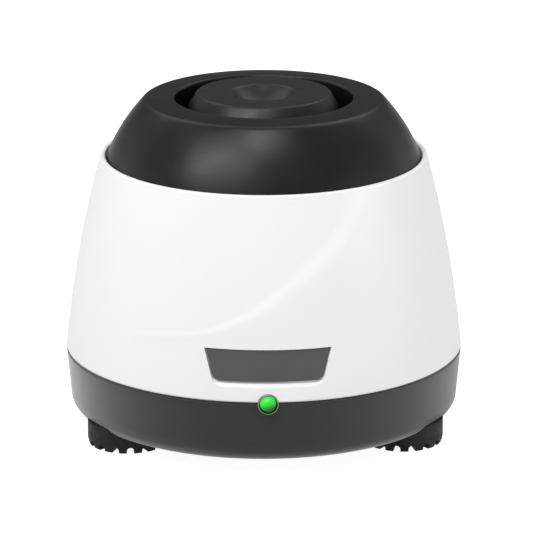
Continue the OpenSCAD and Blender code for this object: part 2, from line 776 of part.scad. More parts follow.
module motor_magnets() {
    outer = motor_r - can_wall - fit;
    color("#3a3a40") for (a = [-60, 120]) rotate([0, 0, a]) rotate_extrude(angle = 120)
        translate([outer - magnet_t, can_z + magnet_margin]) square([magnet_t, motor_l - 2 * magnet_margin]);
}

module armature() {
    color("#7c8084") difference() {
        union() {
            translate([0, 0, can_z + stack_margin]) linear_extrude(height = motor_l - 2 * stack_margin) {
                circle(r = core_r);
                for (a = [0:120:240]) rotate([0, 0, a]) {
                    translate([0, -pole_t / 2]) square([stack_r - shoe_t / 2, pole_t]);
                    intersection() {
                        difference() { circle(r = stack_r); circle(r = stack_r - shoe_t); }
                        polygon(2 * stack_r * [[0, 0], [1, -1.2], [1, 1.2]]);
                    }
                }
            }
            post(commutator_r, can_z + commutator_z[0], can_z + commutator_z[1]);
        }
        post(shaft_r + fit, can_z + 2, can_z + motor_l);
    }
}

module armature_windings() {
    x0 = core_r + 0.2;
    w = pole_t + 2 * winding_t;
    l = sqrt(pow(stack_r - shoe_t - 0.1, 2) - pow(w / 2, 2)) - x0;
    h = motor_l - 2 * stack_margin;
    color("#b5652b") for (a = [0:120:240]) rotate([0, 0, a]) difference() {
        translate([x0, -w / 2, can_z + stack_margin - 1]) cube([l, w, h + 2]);
        translate([x0 - 1, -pole_t / 2 - fit, can_z + stack_margin - fit])
            cube([l + 2, pole_t + 2 * fit, h + 2 * fit]);
    }
}

module motor_shaft() {
    color("#d5d7d9") revolved([[0, can_z - end_cap_h - end_boss_h + 1], [shaft_r, can_z - end_cap_h - end_boss_h + 1],
                               [shaft_r, hub_z + hub_h - 2.5, 0.3], [0, hub_z + hub_h - 2.5]]);
}

// ---- Eccentric drive and head ----------------------------------------------

module eccentric_hub() {
    color("#c7c9cb") difference() {
        union() {
            revolved([[0, hub_z], [hub_r, hub_z, 0.5], [hub_r, hub_top], [0, hub_top]]);
            at_head() {
                post(bearing_bore / 2 + race_shoulder, hub_top - eps, bearing_z);
                post(bearing_bore / 2 - 0.01, bearing_z - eps, bearing_z + bearing_w);
            }
        }
        post(shaft_r + 0.02, hub_z - 1, hub_top - 2.2);
        translate([0, 0, hub_z + 2]) rotate([0, 90, 0]) cylinder(r = m3_r - 0.1 + fit, h = hub_r + 2);
        at_head() post(pin_screw_r + fit, bearing_z + bearing_w - 5, bearing_z + bearing_w + 1);
    }
}

module hub_set_screw() {
    color("#55585b") translate([0, 0, hub_z + 2]) rotate([0, 90, 0]) difference() {
        translate([0, 0, shaft_r + fit]) cylinder(r = m3_r - 0.1, h = hub_r - shaft_r - 0.6);
        translate([0, 0, hub_r - 2.1]) cylinder(r = 0.8, h = 3, $fn = 6);
    }
}

module counterweight() {
    color("#b9974f") translate([0, 0, hub_top - 0.5 - weight_t]) difference() {
        union() {
            cylinder(r = hub_r + 2.4, h = weight_t);
            rotate([0, 0, 200]) rotate_extrude(angle = 140) polygon(rounded([
                [hub_r + 1, 0], [weight_r, 0, 0.6], [weight_r, weight_t, 0.6], [hub_r + 1, weight_t]]));
        }
        translate([0, 0, -1]) cylinder(r = hub_r + 0.02, h = weight_t + 2);
    }
}

ball_circle = (bearing_bore + bearing_d) / 4;
ball_r = (bearing_d - bearing_bore) / 7;
land = ball_r * 0.6;

module race(r_in, r_out) {
    at_head() translate([0, 0, bearing_z]) rotate_extrude() difference() {
        polygon(rounded([[r_in, 0, 0.2], [r_out, 0, 0.2], [r_out, bearing_w, 0.2], [r_in, bearing_w, 0.2]]));
        translate([ball_circle, bearing_w / 2]) circle(r = ball_r + run);
    }
}

module bearing_inner_race() { color("#cfd2d4") race(bearing_bore / 2 + 0.01, ball_circle - land); }

module bearing_outer_race() { color("#cfd2d4") race(ball_circle + land, bearing_d / 2); }

module bearing_ball_set() {
    color("#e4e6e8") at_head() around([0:360 / bearing_balls:359], ball_circle)
        translate([0, 0, bearing_z + bearing_w / 2]) sphere(r = ball_r);
}

module bearing_screw() {
    color("#9fa3a6") at_head()
        washer_screw(bearing_bore / 2 + race_shoulder, 0.6, pin_screw_r, bearing_z + bearing_w, 4.6);
}

module head_carrier() {
    seat_r = bearing_d / 2 + 0.01;
    color("#8f9396") at_head() revolved([
        [seat_r, bearing_z, 0.3], [neck_r, bearing_z, 0.5], [neck_r, disc_z], [disc_r, disc_z, 0.4],
        [disc_r, disc_z + disc_t, 0.4], [dish_r, disc_z + disc_t], [dish_r - 2, dish_z], [0, dish_z],
        [0, cavity_z], [seat_r - 1, cavity_z], [seat_r - 1, bearing_z + bearing_w],
        [seat_r, bearing_z + bearing_w]]);
}

// The cup covers the carrier's disc and follows its dish, with a rounded dimple on top.
module cup_pad() {
    dish = bow([0, cup_z - dimple_depth], [dimple_d / 2, cup_z], dimple_depth * 0.16, 10);
    color("#1f1f20") at_head() rotate_extrude() polygon([
        [0, dish_z + fit], [dish_r - 2 - fit, dish_z + fit], [dish_r - fit, disc_z + disc_t + fit],
        [skirt_r - skirt_t, disc_z + disc_t + fit], [skirt_r - skirt_t, cup_z - skirt_h],
        [skirt_r, cup_z - skirt_h],
        each corner([skirt_r, disc_z], [skirt_r, cup_z - flare_h], [cup_r, cup_z], 0.6),
        each corner([skirt_r, cup_z - flare_h], [cup_r, cup_z], [0, cup_z], cup_edge),
        each [for (i = [len(dish) - 1:-1:0]) dish[i]],
    ]);
}

// ---- Electrics -------------------------------------------------------------

module control_board() {
    color("#1f6b3a") difference() {
        translate([-board_w / 2, -board_y - board_t, board_z0]) cube([board_w, board_t, board_top - board_z0]);
        for (s = [-1, 1]) translate([s * (board_w / 2 - 3), 0, board_top - 4])
            forward(1.6, board_y - 1, board_y + board_t + 1);
    }
}

// A block on the board's outer face: x and height of its centre, and its size.
module board_block(x, z, size) {
    translate([x - size[0] / 2, -board_y - board_t - fit - size[1], board_z0 + z - size[2] / 2]) cube(size);
}

module board_components() {
    color("#2b2d30") {
        board_block(-board_w / 4, driver_rise, driver_size);
        board_block(board_w / 4, chip_rise, chip_size);
        for (s = [-1, 1]) board_block(s * board_w / 4, plug_rise, plug_size);
        translate([0, -board_y - board_t - fit, board_z0 + capacitor_rise]) rotate([90, 0, 0])
            cylinder(r = capacitor_r, h = capacitor_l);
    }
}

module switch_body() {
    color("#26282b") difference() {
        translate([-switch_l / 2, -board_y + fit, switch_top - switch_h]) cube([switch_l, switch_w, switch_h]);
        for (s = [-1, 1]) translate([s * 3.25, 0, switch_top - switch_h + 1.5])
            forward(1, board_y - switch_w - 1, board_y + 1);
        translate([-1.65, -board_y + fit + switch_w / 2 - 0.85, switch_top - 3]) cube([3.3, 1.7, 4]);
    }
}

module switch_plunger() {
    color("#b3261e") translate([-1.6, -board_y + fit + switch_w / 2 - 0.8, switch_top - 1.6])
        cube([3.2, 1.6, plunger_l + 1.6]);
}

module jack_body() {
    color("#202022") difference() {
        union() {
            translate([-jack_w / 2, jack_back, jack_z - jack_h / 2]) cube([jack_w, jack_l, jack_h]);
            translate([0, 0, jack_z]) forward(jack_barrel_r, -jack_face, -jack_front + eps);
        }
        translate([0, 0, jack_z]) forward(jack_bore / 2, -jack_face - 1, -jack_floor);
        translate([0, 0, jack_z]) forward(jack_rivet_r + fit, -jack_floor - eps, -jack_back + 1);
    }
}

module jack_contacts() {
    color("#c8ccd0") translate([0, 0, jack_z]) {
        forward(jack_pin / 2, -jack_face + 1.2, -jack_floor + eps);
        forward(jack_rivet_r, -jack_floor, -jack_back + tab_l);
        for (s = [-1, 1]) translate([s * 2 - 0.8, jack_back - fit - tab_l, s * 2.9 - 0.3])
            cube([1.6, tab_l, 0.6]);
    }
}

module power_leads() {
    z0 = jack_z - 2.4;
    color("#b01818") for (i = [0, 1]) translate([0, 0, z0 + i * 3]) {
        rotate([0, 0, -52]) rotate_extrude(angle = 132) translate([lead_circle, 0]) circle(r = lead_r);
    }
}

base_tray();
upper_shell();
top_cap();
name_plate();
led_bezel();
led_lens();
led_leads();
foot(foot_angles[1]);  // foot_front_left
foot(foot_angles[2]);  // foot_front_right
foot(foot_angles[0]);  // foot_rear
foot_screws();
housing_screws();
cap_screws();
ballast_weight();
guide_posts();
post_screws();
press_springs();
motor_plate();
guide_bushes();
motor_screws();
motor_can();
motor_end_cap();
motor_terminals();
motor_magnets();
armature();
armature_windings();
motor_shaft();
eccentric_hub();
hub_set_screw();
counterweight();
bearing_inner_race();
bearing_ball_set();  // bearing_balls
bearing_outer_race();
bearing_screw();
head_carrier();
cup_pad();
control_board();
board_components();
switch_body();
switch_plunger();
jack_body();
jack_contacts();
power_leads();
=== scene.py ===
"""Looks of a touch-operated vortex mixer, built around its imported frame.

The housing is a dark tray, a glossy white shell and a black cap with a well. A rubber
cup orbits in the well. Meshes are drawn in millimetres and scaled once, at the end of
each piece, so every piece lies in the frame's own place and metres.
"""

from __future__ import annotations

import json
import logging
import math
from dataclasses import dataclass, field
from enum import Enum
from typing import Iterable, Sequence

import bmesh
import bpy
from mathutils import Euler, Matrix, Vector
from mathutils.kdtree import KDTree


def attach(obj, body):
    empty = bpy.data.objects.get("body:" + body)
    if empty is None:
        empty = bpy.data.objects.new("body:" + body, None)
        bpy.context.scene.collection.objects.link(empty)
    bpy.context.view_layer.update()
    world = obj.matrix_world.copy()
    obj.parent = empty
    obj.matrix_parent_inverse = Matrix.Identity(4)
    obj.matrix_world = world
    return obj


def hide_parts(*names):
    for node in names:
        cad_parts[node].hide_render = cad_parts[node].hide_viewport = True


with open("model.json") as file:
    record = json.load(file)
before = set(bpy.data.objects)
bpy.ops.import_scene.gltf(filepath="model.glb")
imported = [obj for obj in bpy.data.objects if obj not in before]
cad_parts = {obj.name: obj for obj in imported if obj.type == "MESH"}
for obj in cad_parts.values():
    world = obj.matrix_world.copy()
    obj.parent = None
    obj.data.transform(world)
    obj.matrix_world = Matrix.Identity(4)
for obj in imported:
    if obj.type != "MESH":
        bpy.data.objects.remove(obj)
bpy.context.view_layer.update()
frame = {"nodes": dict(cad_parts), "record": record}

LOG = logging.getLogger("vortex_mixer")
MM = 0.001
FULL_TURN = 2 * math.pi
Pair = tuple[float, float]
Triple = tuple[float, float, float]
Colour = Triple

# Driving sizes that several classes share, in millimetres
BODY_RADIUS = 50.4
LAMP_HEIGHT = 19.65
SOCKET_HEIGHT = 14.0

# Corners closer than this become one, in millimetres
WELD = 1e-4
# How far a cutter reaches past what it cuts, in millimetres
PAST = 1.0
# Bands in one unit of a Wave texture whose scale is 1
BANDS_PER_UNIT = 3.18


# ---- Shader arithmetic -------------------------------------------------------


class Wire:
    """A shader output that takes part in arithmetic."""

    def __init__(self, shade: Shade, socket: bpy.types.NodeSocket) -> None:
        """Keeps the material and the output.

        Args:
            shade: The material's node builder.
            socket: The output that carries the value.
        """
        self.shade = shade
        self.socket = socket

    def _math(self, operation: str, first: Wire | float, second: Wire | float) -> Wire:
        """Adds one Math node and returns its result."""
        return self.shade.node("ShaderNodeMath", {"operation": operation}, {0: first, 1: second})["Value"]

    def __add__(self, other: Wire | float) -> Wire:
        """Returns self + other."""
        return self._math("ADD", self, other)

    def __radd__(self, other: float) -> Wire:
        """Returns other + self."""
        return self._math("ADD", other, self)

    def __sub__(self, other: Wire | float) -> Wire:
        """Returns self - other."""
        return self._math("SUBTRACT", self, other)

    def __rsub__(self, other: float) -> Wire:
        """Returns other - self."""
        return self._math("SUBTRACT", other, self)

    def __mul__(self, other: Wire | float) -> Wire:
        """Returns self * other."""
        return self._math("MULTIPLY", self, other)

    def __rmul__(self, other: float) -> Wire:
        """Returns other * self."""
        return self._math("MULTIPLY", other, self)

    def ramp(self, low: float, high: float) -> Wire:
        """Rises smoothly from 0 at low to 1 at high."""
        settings = {"interpolation_type": "SMOOTHSTEP"}
        return self.shade.node("ShaderNodeMapRange", settings, {0: self, 1: low, 2: high})["Result"]


class Shade:
    """Builds the nodes of one material or of the world."""

    def __init__(self, tree: bpy.types.NodeTree) -> None:
        """Empties the tree; its output comes when it is closed.

        Args:
            tree: The node tree to fill.
        """
        self.tree = tree
        tree.nodes.clear()

    def node(self, kind: str, settings: dict | None = None, inputs: dict | None = None) -> dict[str, Wire]:
        """Adds a node of any type.

        Args:
            kind: The node's type.
            settings: Properties that are set first, such as an operation.
            inputs: Values or wires by socket name or number.

        Returns:
            The node's outputs by identifier.
        """
        node = self.tree.nodes.new(kind)
        for key, value in (settings or {}).items():
            setattr(node, key, value)
        for key, value in (inputs or {}).items():
            if isinstance(value, Wire):
                self.tree.links.new(value.socket, node.inputs[key])
            else:
                node.inputs[key].default_value = value
        return {output.identifier: Wire(self, output) for output in node.outputs}

    def place(self) -> Wire:
        """Returns the Object coordinates in millimetres."""
        inputs = {0: self.node("ShaderNodeTexCoord")["Object"], "Scale": 1 / MM}
        return self.node("ShaderNodeVectorMath", {"operation": "SCALE"}, inputs)["Vector"]

    def stretched(self, vector: Wire, scale: Triple) -> Wire:
        """Returns a vector whose axes are scaled one by one."""
        return self.node("ShaderNodeMapping", None, {"Vector": vector, "Scale": scale})["Vector"]

    def noise(self, vector: Wire, size: float, detail: float = 2.0, rough: float = 0.5) -> Wire:
        """Returns noise from 0 to 1 whose lumps are about size across."""
        inputs = {"Vector": vector, "Scale": 1 / size, "Detail": detail, "Roughness": rough}
        return self.node("ShaderNodeTexNoise", None, inputs)["Fac"]

    def mix(self, share: Wire | float, first: Wire | Colour, second: Wire | Colour) -> Wire:
        """Mixes two colours.

        Args:
            share: How much of the second colour is taken, from 0 to 1.
            first: Colour where share is 0.
            second: Colour where share is 1.

        Returns:
            The mixed colour.
        """
        first, second = (c if isinstance(c, Wire) else (*c, 1.0) for c in (first, second))
        inputs = {0: share, 6: first, 7: second}
        return self.node("ShaderNodeMix", {"data_type": "RGBA"}, inputs)["Result_Color"]

    def bump(self, height: Wire, depth: float, under: Wire | None = None) -> Wire:
        """Raises the surface for the light alone.

        Args:
            height: Height from 0 to 1.
            depth: Millimetres between 0 and 1.
            under: Normal of the form that lies below.

        Returns:
            The normal of the raised surface.
        """
        inputs = {"Height": height, "Distance": depth * MM, "Strength": 1.0}
        if under is not None:
            inputs["Normal"] = under
        return self.node("ShaderNodeBump", None, inputs)["Normal"]

    def close(self, surface: dict[str, Wire], output: str = "ShaderNodeOutputMaterial") -> None:
        """Links the only output of the last shader to the tree's output."""
        self.node(output, None, {"Surface": next(iter(surface.values()))})


# ---- Finishes ------------------------------------------------------------------


@dataclass(frozen=True)
class Finish:
    """A surface with grain, slow changes of colour and gloss, and dust in its pores.

    Sizes are in millimetres, apart from gloss_patch and speck_size, which are multiples
    of patch and of grain. A span is the stretch of its noise over which a change comes in.
    """

    colour: Colour
    roughness: float
    metallic: float = 0.0
    tint: float = 0.12
    tint_span: Pair = (0.3, 0.7)
    patch: float = 14.0
    gloss_change: float = 0.06
    gloss_patch: float = 0.6
    gloss_span: Pair = (0.25, 0.75)
    grain: float = 0.25
    grain_depth: float = 0.004
    wave: float = 0.0
    wave_length: float = 9.0
    speckle: float = 0.0
    speck_size: float = 2.4
    speck_span: Pair = (0.62, 0.74)
    speck_gain: float = 1.6
    speck_lift: float = 0.02
    coat: float = 0.0
    coat_roughness: float = 0.08
    sheen: float = 0.0
    sheen_roughness: float = 0.5
    ior: float = 1.5

    def tone(self, shade: Shade, place: Wire) -> Wire:
        """Returns the surface's colour, a little lighter and darker in patches.

        Args:
            shade: The material's node builder.
            place: Coordinates in millimetres.

        Returns:
            The wire for Base Color.
        """
        dark = tuple(c * (1 - self.tint) for c in self.colour)
        light = tuple(min(1.0, c * (1 + self.tint)) for c in self.colour)
        colour = shade.mix(shade.noise(place, self.patch, detail=3).ramp(*self.tint_span), dark, light)
        if self.speckle:
            specks = shade.noise(place, self.grain * self.speck_size, detail=1).ramp(*self.speck_span)
            pale = tuple(min(1.0, c * self.speck_gain + self.speck_lift) for c in self.colour)
            colour = shade.mix(specks * self.speckle, colour, pale)
        return colour

    def gloss(self, shade: Shade, place: Wire) -> Wire:
        """Returns the roughness, with handled and untouched patches."""
        wear = shade.noise(place, self.patch * self.gloss_patch, detail=4, rough=0.6).ramp(*self.gloss_span)
        return (wear - 0.5) * (2 * self.gloss_change) + self.roughness

    def relief(self, shade: Shade, place: Wire) -> Wire:
        """Returns the normal of the fine grain over the slow waviness of the moulding.

        Args:
            shade: The material's node builder.
            place: Coordinates in millimetres.

        Returns:
            The wire for Normal.
        """
        under = None
        if self.wave:
            under = shade.bump(shade.noise(place, self.wave_length, detail=1), self.wave)
        return shade.bump(shade.noise(place, self.grain, detail=2, rough=0.6), self.grain_depth, under)

    def extras(self, shade: Shade, place: Wire) -> dict[str, object]:
        """Returns what the shader needs besides colour, roughness and normal.

        Args:
            shade: The material's node builder, which is not used here.
            place: Coordinates in millimetres, which are not used here.

        Returns:
            Values and wires by socket name.
        """
        return {
            "Metallic": self.metallic, "IOR": self.ior,
            "Coat Weight": self.coat, "Coat Roughness": self.coat_roughness,
            "Sheen Weight": self.sheen, "Sheen Roughness": self.sheen_roughness,
        }

    def dress(self, name: str) -> bpy.types.Material:
        """Makes the material.

        Args:
            name: The material's name.

        Returns:
            The finished material.
        """
        material = bpy.data.materials.new(name)
        material.use_nodes = True
        shade = Shade(material.node_tree)
        place = shade.place()
        inputs = {
            "Base Color": self.tone(shade, place),
            "Roughness": self.gloss(shade, place),
            "Normal": self.relief(shade, place),
            **self.extras(shade, place),
        }
        shade.close(shade.node("ShaderNodeBsdfPrincipled", None, inputs))
        return material


@dataclass(frozen=True)
class Machined(Finish):
    """Metal with fine tool marks along one axis and a little tarnish.

    The marks scale the three axes of the grain, and tarnish_patch is a multiple of patch.
    """

    metallic: float = 1.0
    marks: Triple = (0.06, 0.06, 3.0)
    tarnish: Colour = (0.25, 0.23, 0.2)
    tarnish_share: float = 0.35
    tarnish_patch: float = 0.5
    tarnish_span: Pair = (0.58, 0.85)

    def tone(self, shade: Shade, place: Wire) -> Wire:
        """Returns the metal's colour, tarnished in patches.

        Args:
            shade: The material's node builder.
            place: Coordinates in millimetres.

        Returns:
            The wire for Base Color.
        """
        stain = shade.noise(place, self.patch * self.tarnish_patch, detail=5, rough=0.65)
        share = stain.ramp(*self.tarnish_span) * self.tarnish_share
        return shade.mix(share, super().tone(shade, place), self.tarnish)

    def relief(self, shade: Shade, place: Wire) -> Wire:
        """Returns the normal of the tool marks."""
        along = shade.stretched(place, self.marks)
        return shade.bump(shade.noise(along, self.grain, detail=3, rough=0.7), self.grain_depth)


@dataclass(frozen=True)
class Wound(Finish):
    """Enamelled wire in close turns."""

    pitch: float = 0.45
    metallic: float = 0.85
    unevenness: float = 0.25
    depth: float = 0.18

    def relief(self, shade: Shade, place: Wire) -> Wire:
        """Returns the normal of the round turns, one above the other.

        Args:
            shade: The material's node builder.
            place: Coordinates in millimetres.

        Returns:
            The wire for Normal.
        """
        settings = {"wave_type": "BANDS", "bands_direction": "Z", "wave_profile": "SIN"}
        scale = 1 / (BANDS_PER_UNIT * self.pitch)
        inputs = {"Vector": place, "Scale": scale, "Distortion": self.unevenness, "Detail": 1.0}
        return shade.bump(shade.node("ShaderNodeTexWave", settings, inputs)["Fac"], self.depth)


@dataclass(frozen=True)
class Woven(Finish):
    """Circuit board whose glass weave shows through its lacquer."""

    thread: float = 0.5
    weave_share: float = 0.6
    weave_gain: float = 1.5

    def tone(self, shade: Shade, place: Wire) -> Wire:
        """Returns the lacquer's colour, paler over the crossing threads.

        Args:
            shade: The material's node builder.
            place: Coordinates in millimetres.

        Returns:
            The wire for Base Color.
        """
        weave = self._threads(shade, place, "X") * self._threads(shade, place, "Z")
        pale = tuple(min(1.0, c * self.weave_gain) for c in self.colour)
        return shade.mix(weave * self.weave_share, super().tone(shade, place), pale)

    def _threads(self, shade: Shade, place: Wire, axis: str) -> Wire:
        """Returns bands of one thread's width across an axis."""
        inputs = {"Vector": place, "Scale": 1 / (BANDS_PER_UNIT * self.thread)}
        return shade.node("ShaderNodeTexWave", {"wave_type": "BANDS", "bands_direction": axis}, inputs)["Fac"]


@dataclass(frozen=True)
class Lit(Finish):
    """Tinted lens with a glow behind it, with painted light: a painted highlight at its upper left, in both
    its colour and its glow, and painted shade towards its lower edge.

    The span is the part of the lens's radius over which it goes from the painted shade to the painted
    highlight. The rim colour is the painted shade.
    """

    centre: Triple = (0.0, 0.0, 0.0)
    radius: float = 2.0
    # Colour of the painted shade at the lens's lower edge
    rim: Colour = (0.006, 0.09, 0.008)
    # Share of the glow left in the painted shade at the lower edge
    painted_shade_glow: float = 0.12
    glow: float = 0.48
    # Lean and span place the painted highlight at the upper left and the painted shade below
    lean: float = 0.35
    span: Pair = (-0.75, 0.8)

    def _painted_light_share(self, shade: Shade, place: Wire) -> Wire:
        """Measures how far a point lies into the painted highlight, up the lens along a line that leans to
        the left.

        Args:
            shade: The material's node builder.
            place: Coordinates in millimetres.

        Returns:
            0 at the painted shade of the lens's lower edge and 1 at the painted highlight at its upper left.
        """
        inputs = {0: place, 1: self.centre}
        offset = shade.node("ShaderNodeVectorMath", {"operation": "SUBTRACT"}, inputs)["Vector"]
        parts = shade.node("ShaderNodeSeparateXYZ", None, {"Vector": offset})
        slant = parts["Z"] * (1 / self.radius) - parts["X"] * (self.lean / self.radius)
        return slant.ramp(*self.span)

    def tone(self, shade: Shade, place: Wire) -> Wire:
        """Returns the lens's colour, with painted shade towards its lower edge and a painted highlight at its
        upper left.
        """
        return shade.mix(self._painted_light_share(shade, place), self.rim, self.colour)

    def extras(self, shade: Shade, place: Wire) -> dict[str, object]:
        """Adds the glow, with the same painted shade and painted highlight, to what every finish gives the
        shader.

        Args:
            shade: The material's node builder.
            place: Coordinates in millimetres.

        Returns:
            Values and wires by socket name.
        """
        # The glow carries the same painted shade below and painted highlight at the upper left
        dark = tuple(c * self.painted_shade_glow for c in self.rim)
        glow = shade.mix(self._painted_light_share(shade, place), dark, self.colour)
        return {**super().extras(shade, place), "Emission Color": glow, "Emission Strength": self.glow}


class Slot(Enum):
    """The record's material slots."""

    TRAY = "tray_plastic"
    WHITE = "white_plastic"
    BLACK = "black_plastic"
    PLATE = "plate_grey"
    BEZEL = "bezel_metal"
    LENS = "green_lens"
    FOOT = "foot_rubber"
    CUP = "cup_rubber"
    STEEL = "steel"
    SPRING = "spring_steel"
    SCREW = "screw_steel"
    IRON = "cast_iron"
    ALUMINIUM = "aluminium"
    NYLON = "nylon"
    BRASS = "brass"
    MAGNET = "magnet"
    COPPER = "copper"
    BOARD = "board_green"
    COMPONENT = "component_black"
    PLUNGER = "plunger_red"
    LEAD = "lead_red"


LAMP_CENTRE = (0.0, -BODY_RADIUS, LAMP_HEIGHT)

FINISHES: dict[Slot, Finish] = {
    Slot.TRAY: Finish(
        (0.004, 0.004, 0.0042), 0.45, tint=0.1, patch=22, grain=0.3, grain_depth=0.003, sheen=0.78, ior=1.3,
    ),
    Slot.WHITE: Finish(
        (0.9, 0.9, 0.91), 0.4, tint=0.006, patch=30, gloss_change=0.03,
        grain=0.5, grain_depth=0.0008, wave=0.008, ior=1.4,
    ),
    Slot.BLACK: Finish((0.006, 0.006, 0.006), 0.35, patch=18, grain=0.22, grain_depth=0.006, ior=1.38),
    Slot.PLATE: Finish((0.068, 0.068, 0.07), 0.42, tint=0.05, patch=8, grain=0.16, grain_depth=0.003),
    Slot.BEZEL: Machined((0.3, 0.31, 0.3), 0.3, grain=0.2, grain_depth=0.002),
    Slot.LENS: Lit((0.03, 0.62, 0.035), 0.32, gloss_change=0.02, centre=LAMP_CENTRE),
    Slot.FOOT: Finish(
        (0.004, 0.004, 0.004), 0.55, tint=0.2, patch=3, gloss_change=0.1,
        grain=0.35, grain_depth=0.02, speckle=0.25, ior=1.35,
    ),
    Slot.CUP: Finish(
        (0.009, 0.009, 0.0085), 0.38, patch=6, grain=0.28, grain_depth=0.012, speckle=0.2, ior=1.42,
    ),
    Slot.STEEL: Machined((0.58, 0.59, 0.6), 0.26, grain=0.2, grain_depth=0.002),
    Slot.SPRING: Machined((0.42, 0.43, 0.45), 0.3, grain=0.2, grain_depth=0.003),
    Slot.SCREW: Machined((0.6, 0.6, 0.59), 0.34, grain=0.2, grain_depth=0.003),
    Slot.IRON: Finish((0.16, 0.16, 0.165), 0.62, metallic=0.7, grain=0.5, grain_depth=0.05, speckle=0.4),
    Slot.ALUMINIUM: Machined((0.68, 0.69, 0.7), 0.36, grain=0.2, grain_depth=0.004),
    Slot.NYLON: Finish((0.76, 0.74, 0.66), 0.45, tint=0.04, patch=4, grain=0.3, grain_depth=0.004),
    Slot.BRASS: Machined((0.68, 0.5, 0.2), 0.32, grain=0.2, grain_depth=0.003),
    Slot.MAGNET: Finish((0.05, 0.05, 0.055), 0.5, metallic=0.3, grain=0.3, grain_depth=0.01),
    Slot.COPPER: Wound((0.6, 0.24, 0.09), 0.3),
    Slot.BOARD: Woven((0.015, 0.13, 0.05), 0.3, coat=0.5, grain=0.4, grain_depth=0.003),
    Slot.COMPONENT: Finish((0.022, 0.022, 0.025), 0.5, grain=0.2, grain_depth=0.008),
    Slot.PLUNGER: Finish((0.45, 0.025, 0.018), 0.35, grain=0.3, grain_depth=0.003),
    Slot.LEAD: Finish((0.42, 0.015, 0.015), 0.42, grain=0.4, grain_depth=0.004),
}


class Wardrobe:
    """Makes each finish once and hands it out by slot."""

    def __init__(self) -> None:
        """Starts with no material made."""
        self.made: dict[Slot, bpy.types.Material] = {}

    def material(self, slot: Slot) -> bpy.types.Material:
        """Returns the slot's material.

        Args:
            slot: The record's slot.

        Returns:
            The material, made on first use.
        """
        if slot not in self.made:
            self.made[slot] = FINISHES[slot].dress(slot.value)
        return self.made[slot]

    def repaint(self, node: bpy.types.Object, slot: Slot) -> None:
        """Gives a CAD node its material, in the node's own slots."""
        node.data.materials.clear()
        node.data.materials.append(self.material(slot))


# ---- Mesh helpers ----------------------------------------------------------------


def smooth(value: float, span: Pair = (0.0, 1.0)) -> float:
    """Returns 0 before a span and 1 past it, with a smooth rise between."""
    share = min(1.0, max(0.0, (value - span[0]) / (span[1] - span[0])))
    return share * share * (3 - 2 * share)


def between(ends: Pair, share: float) -> float:
    """Returns the value at a share of the way from the first end to the second."""
    return ends[0] + (ends[1] - ends[0]) * share


class Arc:
    """An arc whose middle stands bulge to the right of its chord."""

    def __init__(self, start: Pair, end: Pair, bulge: float) -> None:
        """Works out the circle that the arc lies on.

        Args:
            start: The arc's first point.
            end: The arc's last point.
            bulge: How far the middle stands off the chord. At 0 the arc is straight.
        """
        self.start = Vector(start)
        ahead = Vector(end) - self.start
        self.chord = ahead.length
        self.along = ahead.normalized()
        self.right = Vector((self.along.y, -self.along.x))
        self.bulge = bulge
        if bulge:
            self.radius = (self.chord * self.chord / 4 + bulge * bulge) / (2 * bulge)
            self.centre = (self.start + Vector(end)) / 2 + self.right * (bulge - self.radius)

    def point(self, share: float) -> Pair:
        """Finds a point on the arc.

        Args:
            share: How far along the arc, from 0 to 1.

        Returns:
            The point.
        """
        if not self.bulge:
            return tuple(self.start + self.along * self.chord * share)
        half = math.atan2(2 * self.bulge, self.chord) * 2
        turn = -half + 2 * half * share
        ahead = self.along * self.radius * math.sin(turn)
        return tuple(self.centre + ahead + self.right * self.radius * math.cos(turn))

    def right_of(self, height: float) -> float:
        """Returns how far right the arc's circle reaches at a height."""
        return self.centre.x + math.sqrt(max(0.0, self.radius**2 - (height - self.centre.y) ** 2))


@dataclass(frozen=True)
class Stop:
    """One corner of a turned outline.

    The stretch that leads to it may bulge and may be cut into rows, and the corner
    itself may be rounded. All sizes are in millimetres.
    """

    radius: float
    height: float
    rounding: float = 0.0
    bulge: float = 0.0
    rows: int = 1


def round_corner(bm: bmesh.types.BMesh, corner: bmesh.types.BMVert, radius: float) -> None:
    """Rounds one corner of a wire.

    Args:
        bm: The mesh that holds the wire.
        corner: The corner, where two edges meet.
        radius: Radius of the arc that takes its place.
    """
    sides = [edge.other_vert(corner).co - corner.co for edge in corner.link_edges]
    half = sides[0].angle(sides[1]) / 2
    bmesh.ops.bevel(
        bm, geom=[corner], offset=radius / math.tan(half), segments=5, profile=0.5,
        affect="VERTICES", material=-1,
    )


